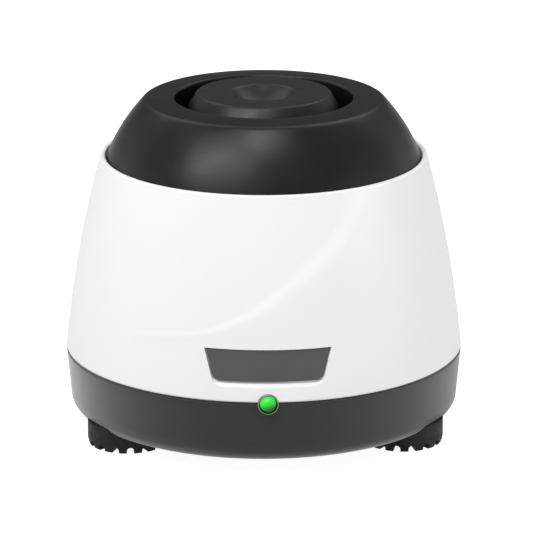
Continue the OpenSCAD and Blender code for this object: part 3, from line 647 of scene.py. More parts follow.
class Turning:
    """A form turned about the Z axis from an outline of a few stops."""

    def __init__(self, stops: Sequence[Stop], steps: int = 256, closed: bool = True) -> None:
        """Keeps the outline.

        Args:
            stops: The outline's corners in order.
            steps: Number of faces round the axis.
            closed: Whether the last stop joins the first.
        """
        self.stops = stops
        self.steps = steps
        self.closed = closed

    def mesh(self) -> bmesh.types.BMesh:
        """Turns the outline.

        Returns:
            The closed form, faces outwards.
        """
        bm = bmesh.new()
        corners = self._wire(bm)
        for corner, stop in zip(corners, self.stops):
            if stop.rounding:
                round_corner(bm, corner, stop.rounding)
        bmesh.ops.spin(
            bm, geom=bm.verts[:] + bm.edges[:], cent=(0, 0, 0), axis=(0, 0, 1), dvec=(0, 0, 0),
            angle=FULL_TURN, steps=self.steps, use_merge=True, use_duplicate=False,
        )
        bmesh.ops.remove_doubles(bm, verts=bm.verts[:], dist=WELD)
        bmesh.ops.recalc_face_normals(bm, faces=bm.faces[:])
        return bm

    def _wire(self, bm: bmesh.types.BMesh) -> list[bmesh.types.BMVert]:
        """Draws the outline as a wire in the XZ plane.

        Args:
            bm: The empty mesh.

        Returns:
            The corners, one for each stop.
        """
        corners = [bm.verts.new((s.radius, 0, s.height)) for s in self.stops]
        ends = list(zip(corners, corners[1:]))
        if self.closed:
            ends.append((corners[-1], corners[0]))
        following = list(self.stops[1:]) + [self.stops[0]]
        for (first, last), stop in zip(ends, following):
            arc = Arc((first.co.x, first.co.z), (last.co.x, last.co.z), stop.bulge)
            points = [arc.point(row / stop.rows) for row in range(1, stop.rows)]
            chain = [first] + [bm.verts.new((x, 0, z)) for x, z in points]
            for a, b in zip(chain, chain[1:] + [last]):
                bm.edges.new((a, b))
        return corners


def rod(radius: float, low: float, high: float, steps: int = 64) -> bmesh.types.BMesh:
    """Makes an upright cylinder.

    Args:
        radius: Its radius.
        low: Height of its foot.
        high: Height of its top.
        steps: Number of faces round it.

    Returns:
        The cylinder.
    """
    bm = bmesh.new()
    bmesh.ops.create_cone(
        bm, cap_ends=True, segments=steps, radius1=radius, radius2=radius, depth=high - low,
        matrix=Matrix.Translation((0, 0, (low + high) / 2)),
    )
    return bm


def block(low: Sequence[float], high: Sequence[float]) -> bmesh.types.BMesh:
    """Makes a box.

    Args:
        low: The corner with the least x, y and z.
        high: The corner with the most.

    Returns:
        The box.
    """
    bm = bmesh.new()
    size = Vector(high) - Vector(low)
    middle = (Vector(high) + Vector(low)) / 2
    bmesh.ops.create_cube(bm, size=1, matrix=Matrix.Translation(middle) @ Matrix.Diagonal((*size, 1)))
    return bm


def slotted(length: float, width: float, low: float, high: float, steps: int = 12) -> bmesh.types.BMesh:
    """Makes an upright bar with round ends that runs along X.

    Args:
        length: Length over the round ends.
        width: Width across them.
        low: Height of its foot.
        high: Height of its top.
        steps: Number of faces round a quarter of an end.

    Returns:
        The bar.
    """
    bm = block((-length / 2, -width / 2, low), (length / 2, width / 2, high))
    corners = [e for e in bm.edges if abs(e.verts[0].co.z - e.verts[1].co.z) > (high - low) / 2]
    bmesh.ops.bevel(
        bm, geom=corners, offset=width / 2 - 10 * WELD, segments=steps, profile=0.5, affect="EDGES",
        material=-1,
    )
    return bm


def moved(bm: bmesh.types.BMesh, matrix: Matrix) -> bmesh.types.BMesh:
    """Moves a whole mesh and returns it."""
    bmesh.ops.transform(bm, matrix=matrix, verts=bm.verts[:])
    return bm


def at(angle: float, radius: float) -> Matrix:
    """Returns the place at an angle in degrees and a radius, turned to face outwards."""
    return Matrix.Rotation(math.radians(angle), 4, "Z") @ Matrix.Translation((radius, 0, 0))


def ring(radius: float, low: float, high: float, angles: Sequence[float], circle: float) -> bmesh.types.BMesh:
    """Returns upright rods in one mesh, one at each angle of a circle."""
    return joined(moved(rod(radius, low, high), at(angle, circle)) for angle in angles)


def facing(side: float, height: float) -> Matrix:
    """Turns an upright form to lie along Y, towards side (-1 front, 1 rear), at a height."""
    return Matrix.Translation((0, 0, height)) @ Matrix.Rotation(-side * math.pi / 2, 4, "X")


def joined(meshes: Iterable[bmesh.types.BMesh]) -> bmesh.types.BMesh:
    """Puts several meshes into one.

    Args:
        meshes: The meshes, which are used up.

    Returns:
        The mesh that holds them all.
    """
    whole = bmesh.new()
    for bm in meshes:
        part = bpy.data.meshes.new("part")
        bm.to_mesh(part)
        bm.free()
        whole.from_mesh(part)
        bpy.data.meshes.remove(part)
    return whole


def as_object(bm: bmesh.types.BMesh, name: str) -> bpy.types.Object:
    """Turns a mesh into an object of the scene.

    Args:
        bm: The mesh, which is used up.
        name: The object's name.

    Returns:
        The object.
    """
    data = bpy.data.meshes.new(name)
    bm.to_mesh(data)
    bm.free()
    made = bpy.data.objects.new(name, data)
    bpy.context.scene.collection.objects.link(made)
    return made


class Cut(Enum):
    """How one solid works on another."""

    AWAY = "DIFFERENCE"
    ADD = "UNION"
    KEEP = "INTERSECT"


def worked(bm: bmesh.types.BMesh, tool: bmesh.types.BMesh, how: Cut) -> bmesh.types.BMesh:
    """Cuts, joins or trims a solid with another.

    Args:
        bm: The solid.
        tool: The solid that works on it.
        how: Whether the tool is cut away, added or kept.

    Returns:
        The new solid.
    """
    body = as_object(bm, "work_body")
    cutter = as_object(tool, "work_tool")
    modifier = body.modifiers.new("work", "BOOLEAN")
    modifier.operation = how.value
    modifier.solver = "EXACT"
    modifier.object = cutter
    bpy.context.view_layer.update()
    result = bmesh.new()
    result.from_object(body, bpy.context.evaluated_depsgraph_get())
    for used in (body, cutter):
        data = used.data
        bpy.data.objects.remove(used)
        bpy.data.meshes.remove(data)
    bmesh.ops.remove_doubles(result, verts=result.verts[:], dist=WELD)
    bmesh.ops.dissolve_degenerate(result, edges=result.edges[:], dist=WELD)
    return result


class Workshop:
    """Finishes meshes into pieces of the part."""

    def __init__(self, wardrobe: Wardrobe) -> None:
        """Keeps the wardrobe of finishes."""
        self.wardrobe = wardrobe

    def finish(
        self, bm: bmesh.types.BMesh, name: str, slot: Slot, body: str, nodes: Sequence[str],
        crease: float = 32.0,
    ) -> None:
        """Scales, shades and dresses a piece, ties it to its body and hides the CAD nodes that it stands for.

        Args:
            bm: The mesh in millimetres.
            name: The piece's name.
            slot: Its finish.
            body: The body that carries it.
            nodes: The CAD nodes that it stands for.
            crease: Angle in degrees above which an edge stays sharp.
        """
        moved(bm, Matrix.Scale(MM, 4))
        piece = as_object(bm, name)
        piece.data.shade_smooth()
        piece.data.set_sharp_from_angle(angle=math.radians(crease))
        piece.data.materials.append(self.wardrobe.material(slot))
        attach(piece, body)
        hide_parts(*nodes)
        LOG.info("%s: %d faces, %s", name, len(piece.data.polygons), slot.value)


# ---- Housing ---------------------------------------------------------------------


@dataclass
class Housing:
    """Tray, shell and cap with the plate, in millimetres.

    A Pair is a radius and a height, apart from the bevel's width and height, the
    plate's half widths and heights, two heights in neck_rise, and the least and the
    greatest distance from the axis in vents and in wall_cut.

    Under the shell the tray's side ends in a soft brim. Inside it a neck rises past
    the groove to a land, which carries the shell's foot, and a tongue stands up behind
    that foot. A boss has its root in the tray's floor. A corner of the shell within a
    skin of its side belongs to the outer face. The plate's slab is cut into columns
    and rows, so that it can follow the side.
    """

    shop: Workshop
    seam: float = 20.0
    groove: float = 0.35
    body_radius: float = BODY_RADIUS
    wall_cut: Pair = (42.0, 56.0)

    tray_radius: float = 49.2
    tray_bottom: float = 4.2
    bevel: Pair = (3.0, 2.8)
    bevel_bulge: float = 0.55
    floor: float = 7.7
    brim: float = 0.06
    neck: float = 0.32
    neck_rise: Pair = (0.14, 0.2)
    land: float = 0.1
    tongue: Pair = (48.0, 2.5)
    tongue_lead: float = 0.35
    inner: float = 46.8
    root: float = 0.5
    boss: Pair = (4.6, 16.0)
    boss_well: Pair = (3.2, 12.0)
    boss_bore: Pair = (1.55, 20.0)
    screw_angles: tuple[float, ...] = (45, 135, 250, 290)
    screw_circle: float = 41.5
    post_boss: Pair = (4.0, 17.1)
    post_angles: tuple[float, ...] = (90, 210, 330)
    post_circle: float = 26.0
    vents: Pair = (6.75, 13.5)
    vent_turn: int = 30
    vent_width: float = 1.8
    lamp_hole: float = 2.6
    socket_hole: float = 4.15

    wall: float = 2.2
    side_top: Pair = (41.2, 69.8)
    side_bulge: float = 1.05
    side_rows: int = 84
    side: Arc = field(init=False)
    skin: float = 0.7
    crease_foot: float = 21.0
    foot_lead: Pair = (0.02, 0.1)
    lip: float = 1.2
    ledge: Pair = (33.3, 65.6)

    plate_top: Pair = (15.05, 32.9)
    plate_foot: Pair = (13.2, 25.2)
    plate_round: float = 1.9
    plate_sink: float = 0.12
    plate_depth: float = 0.92
    plate_edge: float = 0.14
    plate_grown: float = 0.04
    recess_grown: float = 0.12
    slope: Triple = (1.4, 0.45, 0.2)
    slope_reach: float = 1.5
    slope_spread: float = 1.4
    columns: range = range(-17, 18)
    rows: tuple[float, ...] = tuple(height + 0.5 for height in range(22, 35))

    cap_radius: float = 39.7
    cap_sink: float = 0.7
    cap_bulge: float = 0.85
    cap_wall: float = 1.8
    shoulder: Pair = (30.1, 84.1)
    shoulder_round: float = 2.0
    shoulder_wall: float = 0.6
    well: Pair = (22.4, 84.6)
    well_floor: float = 73.0
    collar: Pair = (11.4, 78.0)
    collar_wall: float = 1.4

    def __post_init__(self) -> None:
        """Works out the arc of the shell's side."""
        self.side = Arc((self.body_radius, self.seam), self.side_top, self.side_bulge)

    def build(self) -> None:
        """Builds the housing's four pieces."""
        self.tray()
        self.shell()
        self.plate()
        self.cap()

    # -- Tray

    def tray(self) -> None:
        """Builds the tray with its vents, screw wells, lamp hole and socket hole."""
        r, g = self.body_radius, self.groove
        rim, land = self.seam - g, self.seam + self.land
        tongue_r, tongue_top = self.tongue[0], self.seam + self.tongue[1]
        bm = Turning([
            *self._underside(0.0),
            Stop(r - self.brim, rim - 2 * self.brim, rounding=0.12, rows=6),
            Stop(r - g, rim - self.brim),
            Stop(r - g, rim + self.neck_rise[0], rounding=0.05),
            Stop(r - self.neck, rim + self.neck_rise[1], rounding=0.08),
            Stop(r - self.neck, land, rounding=0.08),
            Stop(tongue_r, land),
            Stop(tongue_r - self.tongue_lead, tongue_top, rounding=0.4),
            Stop(self.inner, tongue_top),
            Stop(self.inner, self.floor, rounding=1.0),
            Stop(0, self.floor),
        ], steps=384, closed=False).mesh()
        screws, circle = self.screw_angles, self.screw_circle
        boss_foot = self.tray_bottom + self.root
        bosses = ring(self.boss[0], boss_foot, self.boss[1], screws, circle)
        posts = ring(self.post_boss[0], boss_foot, self.post_boss[1], self.post_angles, self.post_circle)
        bm = worked(bm, joined([bosses, posts]), Cut.ADD)
        bm = worked(bm, ring(self.boss_well[0], 0, self.boss_well[1], screws, circle), Cut.AWAY)
        bore_foot = self.boss_well[1] - PAST
        bm = worked(bm, ring(self.boss_bore[0], bore_foot, self.boss_bore[1], screws, circle), Cut.AWAY)
        vents = [self._vent(angle) for angle in range(0, 360, self.vent_turn)]
        bm = worked(bm, joined(vents), Cut.AWAY)
        socket = moved(rod(self.socket_hole, *self.wall_cut), facing(1, SOCKET_HEIGHT))
        bm = worked(bm, joined([self._lamp_hole(), socket]), Cut.AWAY)
        self.shop.finish(bm, "tray", Slot.TRAY, "housing", ["base_tray"])

    def _underside(self, gap: float) -> list[Stop]:
        """Returns the outline of the tray's underside and bevel, with a gap outside it."""
        (bevel_in, bevel_up), bottom = self.bevel, self.tray_bottom
        return [
            Stop(0, bottom - gap),
            Stop(self.tray_radius - bevel_in, bottom - gap),
            Stop(self.tray_radius + gap, bottom + bevel_up, bulge=self.bevel_bulge, rows=8),
        ]

    def trimmer(self, gap: float) -> bmesh.types.BMesh:
        """Makes the form that trims what wraps round the tray.

        Args:
            gap: Space left round the tray.

        Returns:
            The closed form.
        """
        seam = [Stop(self.body_radius, self.seam), Stop(0, self.seam)]
        return Turning([*self._underside(gap), *seam], steps=256, closed=False).mesh()

    def _lamp_hole(self) -> bmesh.types.BMesh:
        """Makes the cutter of the lamp's hole, which the tray and the shell share."""
        return moved(rod(self.lamp_hole, *self.wall_cut), facing(-1, LAMP_HEIGHT))

    def _vent(self, angle: float) -> bmesh.types.BMesh:
        """Makes the cutter of one vent slot in the tray's floor.

        Args:
            angle: Its place round the axis, in degrees.

        Returns:
            The cutter.
        """
        (near, far), width = self.vents, self.vent_width
        bar = slotted(far - near + width, width, self.tray_bottom - PAST, self.floor + PAST)
        return moved(bar, at(angle, (near + far) / 2))

    # -- Shell

    def shell(self) -> None:
        """Builds the glossy shell with its crease, its plate recess and its lamp hole."""
        r, g, w = self.body_radius, self.groove, self.wall
        lead_in, lead_up = self.foot_lead
        side_r, side_z = self.side_top
        ledge_r, ledge_z = self.ledge
        under = ledge_z - w
        bm = Turning([
            Stop(r - w, self.seam, bulge=-self.side_bulge, rows=6),
            Stop(r - g, self.seam),
            Stop(r - g, self.seam + g - lead_up),
            Stop(r - lead_in, self.seam + g, rounding=0.15),
            Stop(side_r, side_z, rounding=0.5, bulge=self.side_bulge, rows=self.side_rows),
            Stop(side_r - self.lip, side_z, rounding=0.4),
            Stop(side_r - self.lip, ledge_z),
            Stop(ledge_r, ledge_z),
            Stop(ledge_r, under),
            Stop(self.side.right_of(under) - w, under),
        ], steps=720).mesh()
        self._press_crease(bm)
        bm = worked(bm, self._recess(), Cut.AWAY)
        bm = worked(bm, self._lamp_hole(), Cut.AWAY)
        self.shop.finish(bm, "shell", Slot.WHITE, "housing", ["upper_shell"], crease=28.0)

    def _press_crease(self, bm: bmesh.types.BMesh) -> None:
        """Raises the sweeping crease on the front of the shell's outer side.

        Args:
            bm: The shell.
        """
        crease = Crease()
        for vert in bm.verts:
            x, y, z = vert.co
            radius = math.hypot(x, y)
            if y > 0 or z < self.crease_foot or abs(radius - self.side.right_of(z)) > self.skin:
                continue
            lift = crease.lift(x, z)
            vert.co.x += x / radius * lift
            vert.co.y += y / radius * lift

    def _plate_outline(self, grow_foot: float, grow_side: float, grow_top: float) -> list[Pair]:
        """Draws the trapezoid of the plate.

        Args:
            grow_foot: How far the outline is grown at its foot.
            grow_side: How far it is grown at both sides.
            grow_top: How far it is grown at its top.

        Returns:
            The corners from the upper left to the upper right.
        """
        (top_x, top_z), (foot_x, foot_z) = self.plate_top, self.plate_foot
        slope = (top_x - foot_x) / (top_z - foot_z)
        foot_x += grow_side - slope * grow_foot
        top_x += grow_side + slope * grow_top
        top_z, foot_z = top_z + grow_top, foot_z - grow_foot
        return [(-top_x, top_z), (-foot_x, foot_z), (foot_x, foot_z), (top_x, top_z)]

    def _slab(self, layers: Sequence[tuple[float, Triple]]) -> bmesh.types.BMesh:
        """Makes a slab that follows the shell's side, in layers of the plate's outline.

        Args:
            layers: For each layer, how far it stands proud of the side, and how much
                its outline is grown at the foot, the sides and the top.

        Returns:
            The closed slab.
        """
        bm = bmesh.new()
        rings: list[list[bmesh.types.BMEdge]] = []
        for proud, grown in layers:
            verts = [bm.verts.new((x, -proud, z)) for x, z in self._plate_outline(*grown)]
            for a, b in zip(verts, verts[1:] + verts[:1]):
                bm.edges.new((a, b))
            for corner in verts[1:3]:
                round_corner(bm, corner, self.plate_round + grown[1])
            bm.edges.ensure_lookup_table()
            known = {edge for loop in rings for edge in loop}
            rings.append([edge for edge in bm.edges if edge not in known])
        for lower, upper in zip(rings, rings[1:]):
            bmesh.ops.bridge_loops(bm, edges=lower + upper)
        bmesh.ops.contextual_create(bm, geom=rings[0])
        bmesh.ops.contextual_create(bm, geom=rings[-1])
        for x in self.columns:
            self._slice(bm, (x, 0, 0), (1, 0, 0))
        for z in self.rows:
            self._slice(bm, (0, 0, z), (0, 0, 1))
        for vert in bm.verts:
            radius = self.side.right_of(vert.co.z) - vert.co.y
            vert.co.y = -math.sqrt(radius * radius - vert.co.x * vert.co.x)
        bmesh.ops.remove_doubles(bm, verts=bm.verts[:], dist=WELD)
        bmesh.ops.recalc_face_normals(bm, faces=bm.faces[:])
        return bm

    @staticmethod
    def _slice(bm: bmesh.types.BMesh, point: Sequence[float], normal: Sequence[float]) -> None:
        """Adds edges where a plane crosses a mesh."""
        geometry = bm.verts[:] + bm.edges[:] + bm.faces[:]
        bmesh.ops.bisect_plane(bm, geom=geometry, dist=WELD / 10, plane_co=point, plane_no=normal)

    def _recess(self) -> bmesh.types.BMesh:
        """Makes the cutter of the plate's recess, whose walls slope outwards."""
        return self._slab([
            (-self.plate_depth, (self.recess_grown,) * 3),
            (0.0, self.slope),
            (self.slope_reach, tuple(grown * self.slope_spread for grown in self.slope)),
        ])

    def plate(self) -> None:
        """Builds the bare front plate, which fills the floor of its recess."""
        grown, edge = self.plate_grown, self.plate_edge
        bm = self._slab([
            (-self.plate_depth, (grown,) * 3),
            (-self.plate_sink - edge, (grown,) * 3),
            (-self.plate_sink, (grown - edge,) * 3),
        ])
        self.shop.finish(bm, "front_plate", Slot.PLATE, "housing", ["name_plate"], crease=40.0)

    # -- Cap

    def cap(self) -> None:
        """Builds the black cap with its well and its collar."""
        w, foot, ledge = self.cap_wall, self.side_top[1] - self.cap_sink, self.ledge[1]
        well_r, top = self.well
        collar_r, collar_top = self.collar
        shoulder_r, shoulder_z = self.shoulder
        bm = Turning([
            Stop(self.cap_radius, ledge),
            Stop(self.cap_radius, foot, rounding=0.3),
            Stop(shoulder_r, shoulder_z, rounding=self.shoulder_round, bulge=self.cap_bulge, rows=8),
            Stop(well_r, top, rounding=0.7, rows=2),
            Stop(well_r, self.well_floor, rounding=1.0, rows=3),
            Stop(collar_r + self.collar_wall, self.well_floor, rounding=0.3),
            Stop(collar_r + self.collar_wall, collar_top, rounding=0.4),
            Stop(collar_r, collar_top, rounding=0.4),
            Stop(collar_r, self.well_floor - w),
            Stop(well_r + w, self.well_floor - w),
            Stop(well_r + w, top - w),
            Stop(shoulder_r - w * self.shoulder_wall, shoulder_z - w),
            Stop(self.cap_radius - w, foot),
            Stop(self.cap_radius - w, ledge),
        ], steps=384).mesh()
        self.shop.finish(bm, "cap", Slot.BLACK, "housing", ["top_cap"])


@dataclass
class Crease:
    """The sweeping crease on the shell's front, by its x and z in millimetres.

    The side below the crease stands proud of the side above it, so the crease itself
    is a narrow slope that faces up, and the side settles back further down. Over the
    reach it widens from its left to its right values. It comes in over the fade at
    its left end and goes out over the far stretch at its right end.
    """

    route: tuple[Pair, ...] = (
        (32.5, 76.0), (28.6, 71.4), (24.3, 68.6), (21.5, 65.9), (18.4, 60.2), (14.5, 55.6), (9.8, 52.2),
        (5.4, 48.7), (-0.2, 44.2), (-7.5, 40.2), (-14.5, 37.2), (-18.2, 36.3), (-22.6, 35.6),
        (-28.7, 34.6), (-32.9, 33.8), (-38.0, 33.2),
    )
    slope: float = 0.2
    widths: Pair = (0.8, 5.2)
    settles: Pair = (1.1, 14.0)
    reach: Pair = (-22.0, 20.0)
    fade: Pair = (-35.0, -30.0)
    far: Pair = (23.0, 37.0)
    limit: float = 40.0
    samples: int = 12
    tree: KDTree = field(init=False)
    tangents: list[Vector] = field(init=False)

    def __post_init__(self) -> None:
        """Samples the route densely, so that the nearest point is quick to find."""
        points = self._sampled()
        self.tree = KDTree(len(points))
        for index, point in enumerate(points):
            self.tree.insert((point.x, 0, point.y), index)
        self.tree.balance()
        last = len(points) - 1
        self.tangents = [
            (points[min(i + 1, last)] - points[max(i - 1, 0)]).normalized() for i in range(len(points))
        ]

    def _sampled(self) -> list[Vector]:
        """Lays a smooth curve through the route.

        Returns:
            Points on the curve, close together.
        """
        knots = [Vector(p) for p in self.route]
        points = []
        for a, b, c, d in zip(knots, knots[1:], knots[2:], knots[3:]):
            for step in range(self.samples):
                t = step / self.samples
                points.append(0.5 * (
                    2 * b + (c - a) * t + (2 * a - 5 * b + 4 * c - d) * t * t + (3 * b - 3 * c + d - a) * t**3
                ))
        return points

    def lift(self, x: float, z: float) -> float:
        """Returns how far the side stands out at a point.

        Args:
            x: Place across the front.
            z: Height.

        Returns:
            The lift in millimetres.
        """
        near, index, distance = self.tree.find((x, 0, z))
        if distance > self.limit:
            return 0.0
        tangent = self.tangents[index]
        offset = Vector((x - near.x, z - near.z))
        below = tangent.x * offset.y - tangent.y * offset.x > 0
        along = smooth(near.x, self.reach)
        width, settle = between(self.widths, along), between(self.settles, along)
        strength = smooth(near.x, self.fade) * (1 - smooth(x, self.far))
        side = distance if below else -distance
        step = smooth(side / width + 0.5)
        past = max(0.0, side - width / 4) / settle
        return strength * self.slope * width * step * math.exp(-(past**2) / (1 + past))


# ---- Lamp and feet -----------------------------------------------------------------


@dataclass
class Lamp:
    """The lit lens in its thin bezel, in millimetres.

    A Pair is the distance of a back and of a front from the part's axis. The lens ends
    in a dome, whose rounding is that share of the lens's radius.
    """

    shop: Workshop
    radius: float = 2.1
    tip: float = 51.75
    dome: float = 0.92
    flange: Pair = (45.3, 46.3)
    flange_radius: float = 2.8
    gap: float = 0.03
    bezel: float = 2.55
    bezel_face: float = 0.2
    bezel_reach: Pair = (47.4, 50.55)
    bezel_slope: float = 0.7

    def build(self) -> None:
        """Builds the lens and the bezel."""
        back, front = self.flange
        lens = Turning([
            Stop(0, back), Stop(self.flange_radius, back),
            Stop(self.flange_radius, front), Stop(self.radius, front),
            Stop(self.radius, self.tip, rounding=self.radius * self.dome), Stop(0, self.tip),
        ], steps=96, closed=False).mesh()
        moved(lens, facing(-1, LAMP_HEIGHT))
        self.shop.finish(lens, "lamp_lens", Slot.LENS, "housing", ["led_lens"])
        back, front = self.bezel_reach
        inner = self.radius + self.gap
        bezel = Turning([
            Stop(inner, back), Stop(self.bezel, back),
            Stop(self.bezel, front, rounding=0.1),
            Stop(self.bezel - self.bezel_face, front, rounding=0.08),
            Stop(inner, front - self.bezel_slope),
        ], steps=96).mesh()
        moved(bezel, facing(-1, LAMP_HEIGHT))
        self.shop.finish(bezel, "lamp_bezel", Slot.BEZEL, "housing", ["led_bezel"])


@dataclass
class Feet:
    """Three notched rubber feet, in millimetres.

    The recess under a foot has a radius and a height, and the notches open into it.
    An edge at a notch is rounded where its faces meet at more than notch_edge degrees.
    """

    shop: Workshop
    radius: float = 10.2
    sole_lead: float = 0.35
    wrap: float = 6.4
    gap: float = 0.03
    circle: float = 39.9
    notches: int = 16
    notch_turn: float = -3.75
    notch_width: float = 1.85
    notch_height: float = 1.7
    notch_round: float = 0.42
    notch_edge: float = 50.0
    margin: float = 0.1
    recess: Pair = (5.9, 1.9)
    well: float = 3.5
    seat: float = 2.7
    bore: float = 1.7
    places: dict[str, float] = field(default_factory=lambda: {
        "foot_front_left": 210, "foot_front_right": 330, "foot_rear": 90,
    })

    def build(self, housing: Housing) -> None:
        """Builds the feet in their places, trimmed where they wrap round the tray.

        Args:
            housing: The housing that they carry.
        """
        for node, angle in self.places.items():
            bm = moved(self._foot(), at(angle, self.circle))
            bm = worked(bm, housing.trimmer(self.gap), Cut.AWAY)
            self.shop.finish(bm, "rubber_" + node, Slot.FOOT, "housing", [node], crease=40.0)

    def _foot(self) -> bmesh.types.BMesh:
        """Makes one foot about the Z axis.

        Returns:
            The foot, notched and with soft edges to its notches.
        """
        recess, deep = self.recess
        bm = Turning([
            Stop(recess, 0, rounding=0.3), Stop(self.radius - self.sole_lead, 0, rounding=0.45),
            Stop(self.radius, self.notch_height, rounding=0.5), Stop(self.radius, self.wrap, rounding=0.3),
            Stop(self.bore, self.wrap), Stop(self.bore, self.seat), Stop(self.well, self.seat),
            Stop(self.well, deep), Stop(recess, deep),
        ], steps=192).mesh()
        bm = worked(bm, joined(self._notch(i) for i in range(self.notches)), Cut.AWAY)
        edges = [edge for edge in bm.edges if self._at_notch(edge)]
        bmesh.ops.bevel(
            bm, geom=edges, offset=self.notch_round, segments=4, profile=0.5, affect="EDGES",
            material=-1, clamp_overlap=True,
        )
        return bm

    def _at_notch(self, edge: bmesh.types.BMEdge) -> bool:
        """Tells whether an edge is a sharp one at a notch.

        Args:
            edge: An edge of the foot.

        Returns:
            Whether it is to be rounded.
        """
        if len(edge.link_faces) != 2 or edge.calc_face_angle(0) <= math.radians(self.notch_edge):
            return False
        near, low = self.recess[0] - self.margin, self.notch_height + self.margin / 2
        return all(vert.co.z < low and vert.co.to_2d().length > near for vert in edge.verts)

    def _notch(self, index: int) -> bmesh.types.BMesh:
        """Makes the cutter of one notch: an arch that runs outwards.

        Args:
            index: Its number round the foot.

        Returns:
            The cutter.
        """
        near, far = self.recess[0] - 2 * self.margin, self.radius + PAST
        arch = slotted(2 * self.notch_height, self.notch_width, near, far, steps=8)
        moved(arch, Matrix.Rotation(math.pi / 2, 4, "Y"))
        turn = math.radians(self.notch_turn) + FULL_TURN * index / self.notches
        return moved(arch, Matrix.Rotation(turn, 4, "Z"))


# ---- Cup -----------------------------------------------------------------------------


@dataclass
class Cup:
    """The rubber cup that orbits in the well, in millimetres.

    It fills its carrier's dish, which has a radius and a height.
    """

    shop: Workshop
    orbit: float = 2.0
    top: float = 85.1
    radius: float = 16.8
    skirt: float = 18.9
    flare: float = 3.3
    edge: float = 0.8
    skirt_foot: float = 75.5
    skirt_wall: float = 1.6
    disc_top: float = 81.45
    dimple: float = 8.4
    dimple_depth: float = 4.6
    dimple_bulge: float = 0.16
    dish: Pair = (9.0, 78.65)
    dish_slope: float = 2.0

    def build(self) -> None:
        """Builds the cup about the head's axis."""
        dish_r, dish_z = self.dish
        inner = self.skirt - self.skirt_wall
        bm = Turning([
            Stop(0, dish_z),
            Stop(dish_r - self.dish_slope, dish_z),
            Stop(dish_r, self.disc_top),
            Stop(inner, self.disc_top),
            Stop(inner, self.skirt_foot, rounding=0.4),
            Stop(self.skirt, self.skirt_foot, rounding=0.4),
            Stop(self.skirt, self.top - self.flare, rounding=0.7),
            Stop(self.radius, self.top, rounding=self.edge),
            Stop(self.dimple, self.top, rounding=1.2),
            Stop(0, self.top - self.dimple_depth, bulge=-self.dimple_depth * self.dimple_bulge, rows=12),
        ], steps=256, closed=False).mesh()
        moved(bm, Matrix.Translation((0, self.orbit, 0)))
        self.shop.finish(bm, "rubber_cup", Slot.CUP, "head", ["cup_pad"])


# ---- Screws and socket -----------------------------------------------------------------


@dataclass
class Fasteners:
    """Pan-head screws with cross recesses, in millimetres.

    A cross recess has arms that reach arm from the middle and are twice wing wide. It
    is turned by a few tenths of a radian, as a tightened screw's is.
    """

    shop: Workshop
    housing_length: float = 16.0
    housing_seat: float = 11.7
    foot_length: float = 6.0
    head: float = 2.8
    head_height: float = 1.8
    thread: float = 1.5
    tip: float = 0.5
    arm: float = 1.54
    wing: float = 0.32
    recess: float = 0.95
    turn: float = 0.4

    def build(self, housing: Housing, feet: Feet) -> None:
        """Builds the screws of the housing and of the feet.

        Args:
            housing: The housing, whose screws stand in wells.
            feet: The feet, each with a screw in its middle.
        """
        deep = [
            moved(self._screw(self.housing_length, self.housing_seat), at(angle, housing.screw_circle))
            for angle in housing.screw_angles
        ]
        self.shop.finish(joined(deep), "housing_screw_set", Slot.SCREW, "housing", ["housing_screws"])
        low = [
            moved(self._screw(self.foot_length, feet.seat), at(angle, feet.circle))
            for angle in feet.places.values()
        ]
        self.shop.finish(joined(low), "foot_screw_set", Slot.SCREW, "housing", ["foot_screws"])

    def _screw(self, length: float, seat: float) -> bmesh.types.BMesh:
        """Makes a screw whose head hangs under its seat.

        Args:
            length: Length of the thread.
            seat: Height of the face that the head presses on.

        Returns:
            The screw about the Z axis.
        """
        bottom, end = seat - self.head_height, seat + length
        bm = Turning([
            Stop(0, bottom), Stop(self.head, bottom, rounding=0.9), Stop(self.head, seat, rounding=0.1),
            Stop(self.thread, seat), Stop(self.thread, end - self.tip),
            Stop(self.thread - self.tip, end), Stop(0, end),
        ], steps=48, closed=False).mesh()
        for turn in (0, math.pi / 2):
            wing = block((-self.arm, -self.wing, bottom - PAST), (self.arm, self.wing, bottom + self.recess))
            bm = worked(bm, moved(wing, Matrix.Rotation(turn + self.turn, 4, "Z")), Cut.AWAY)
        return bm


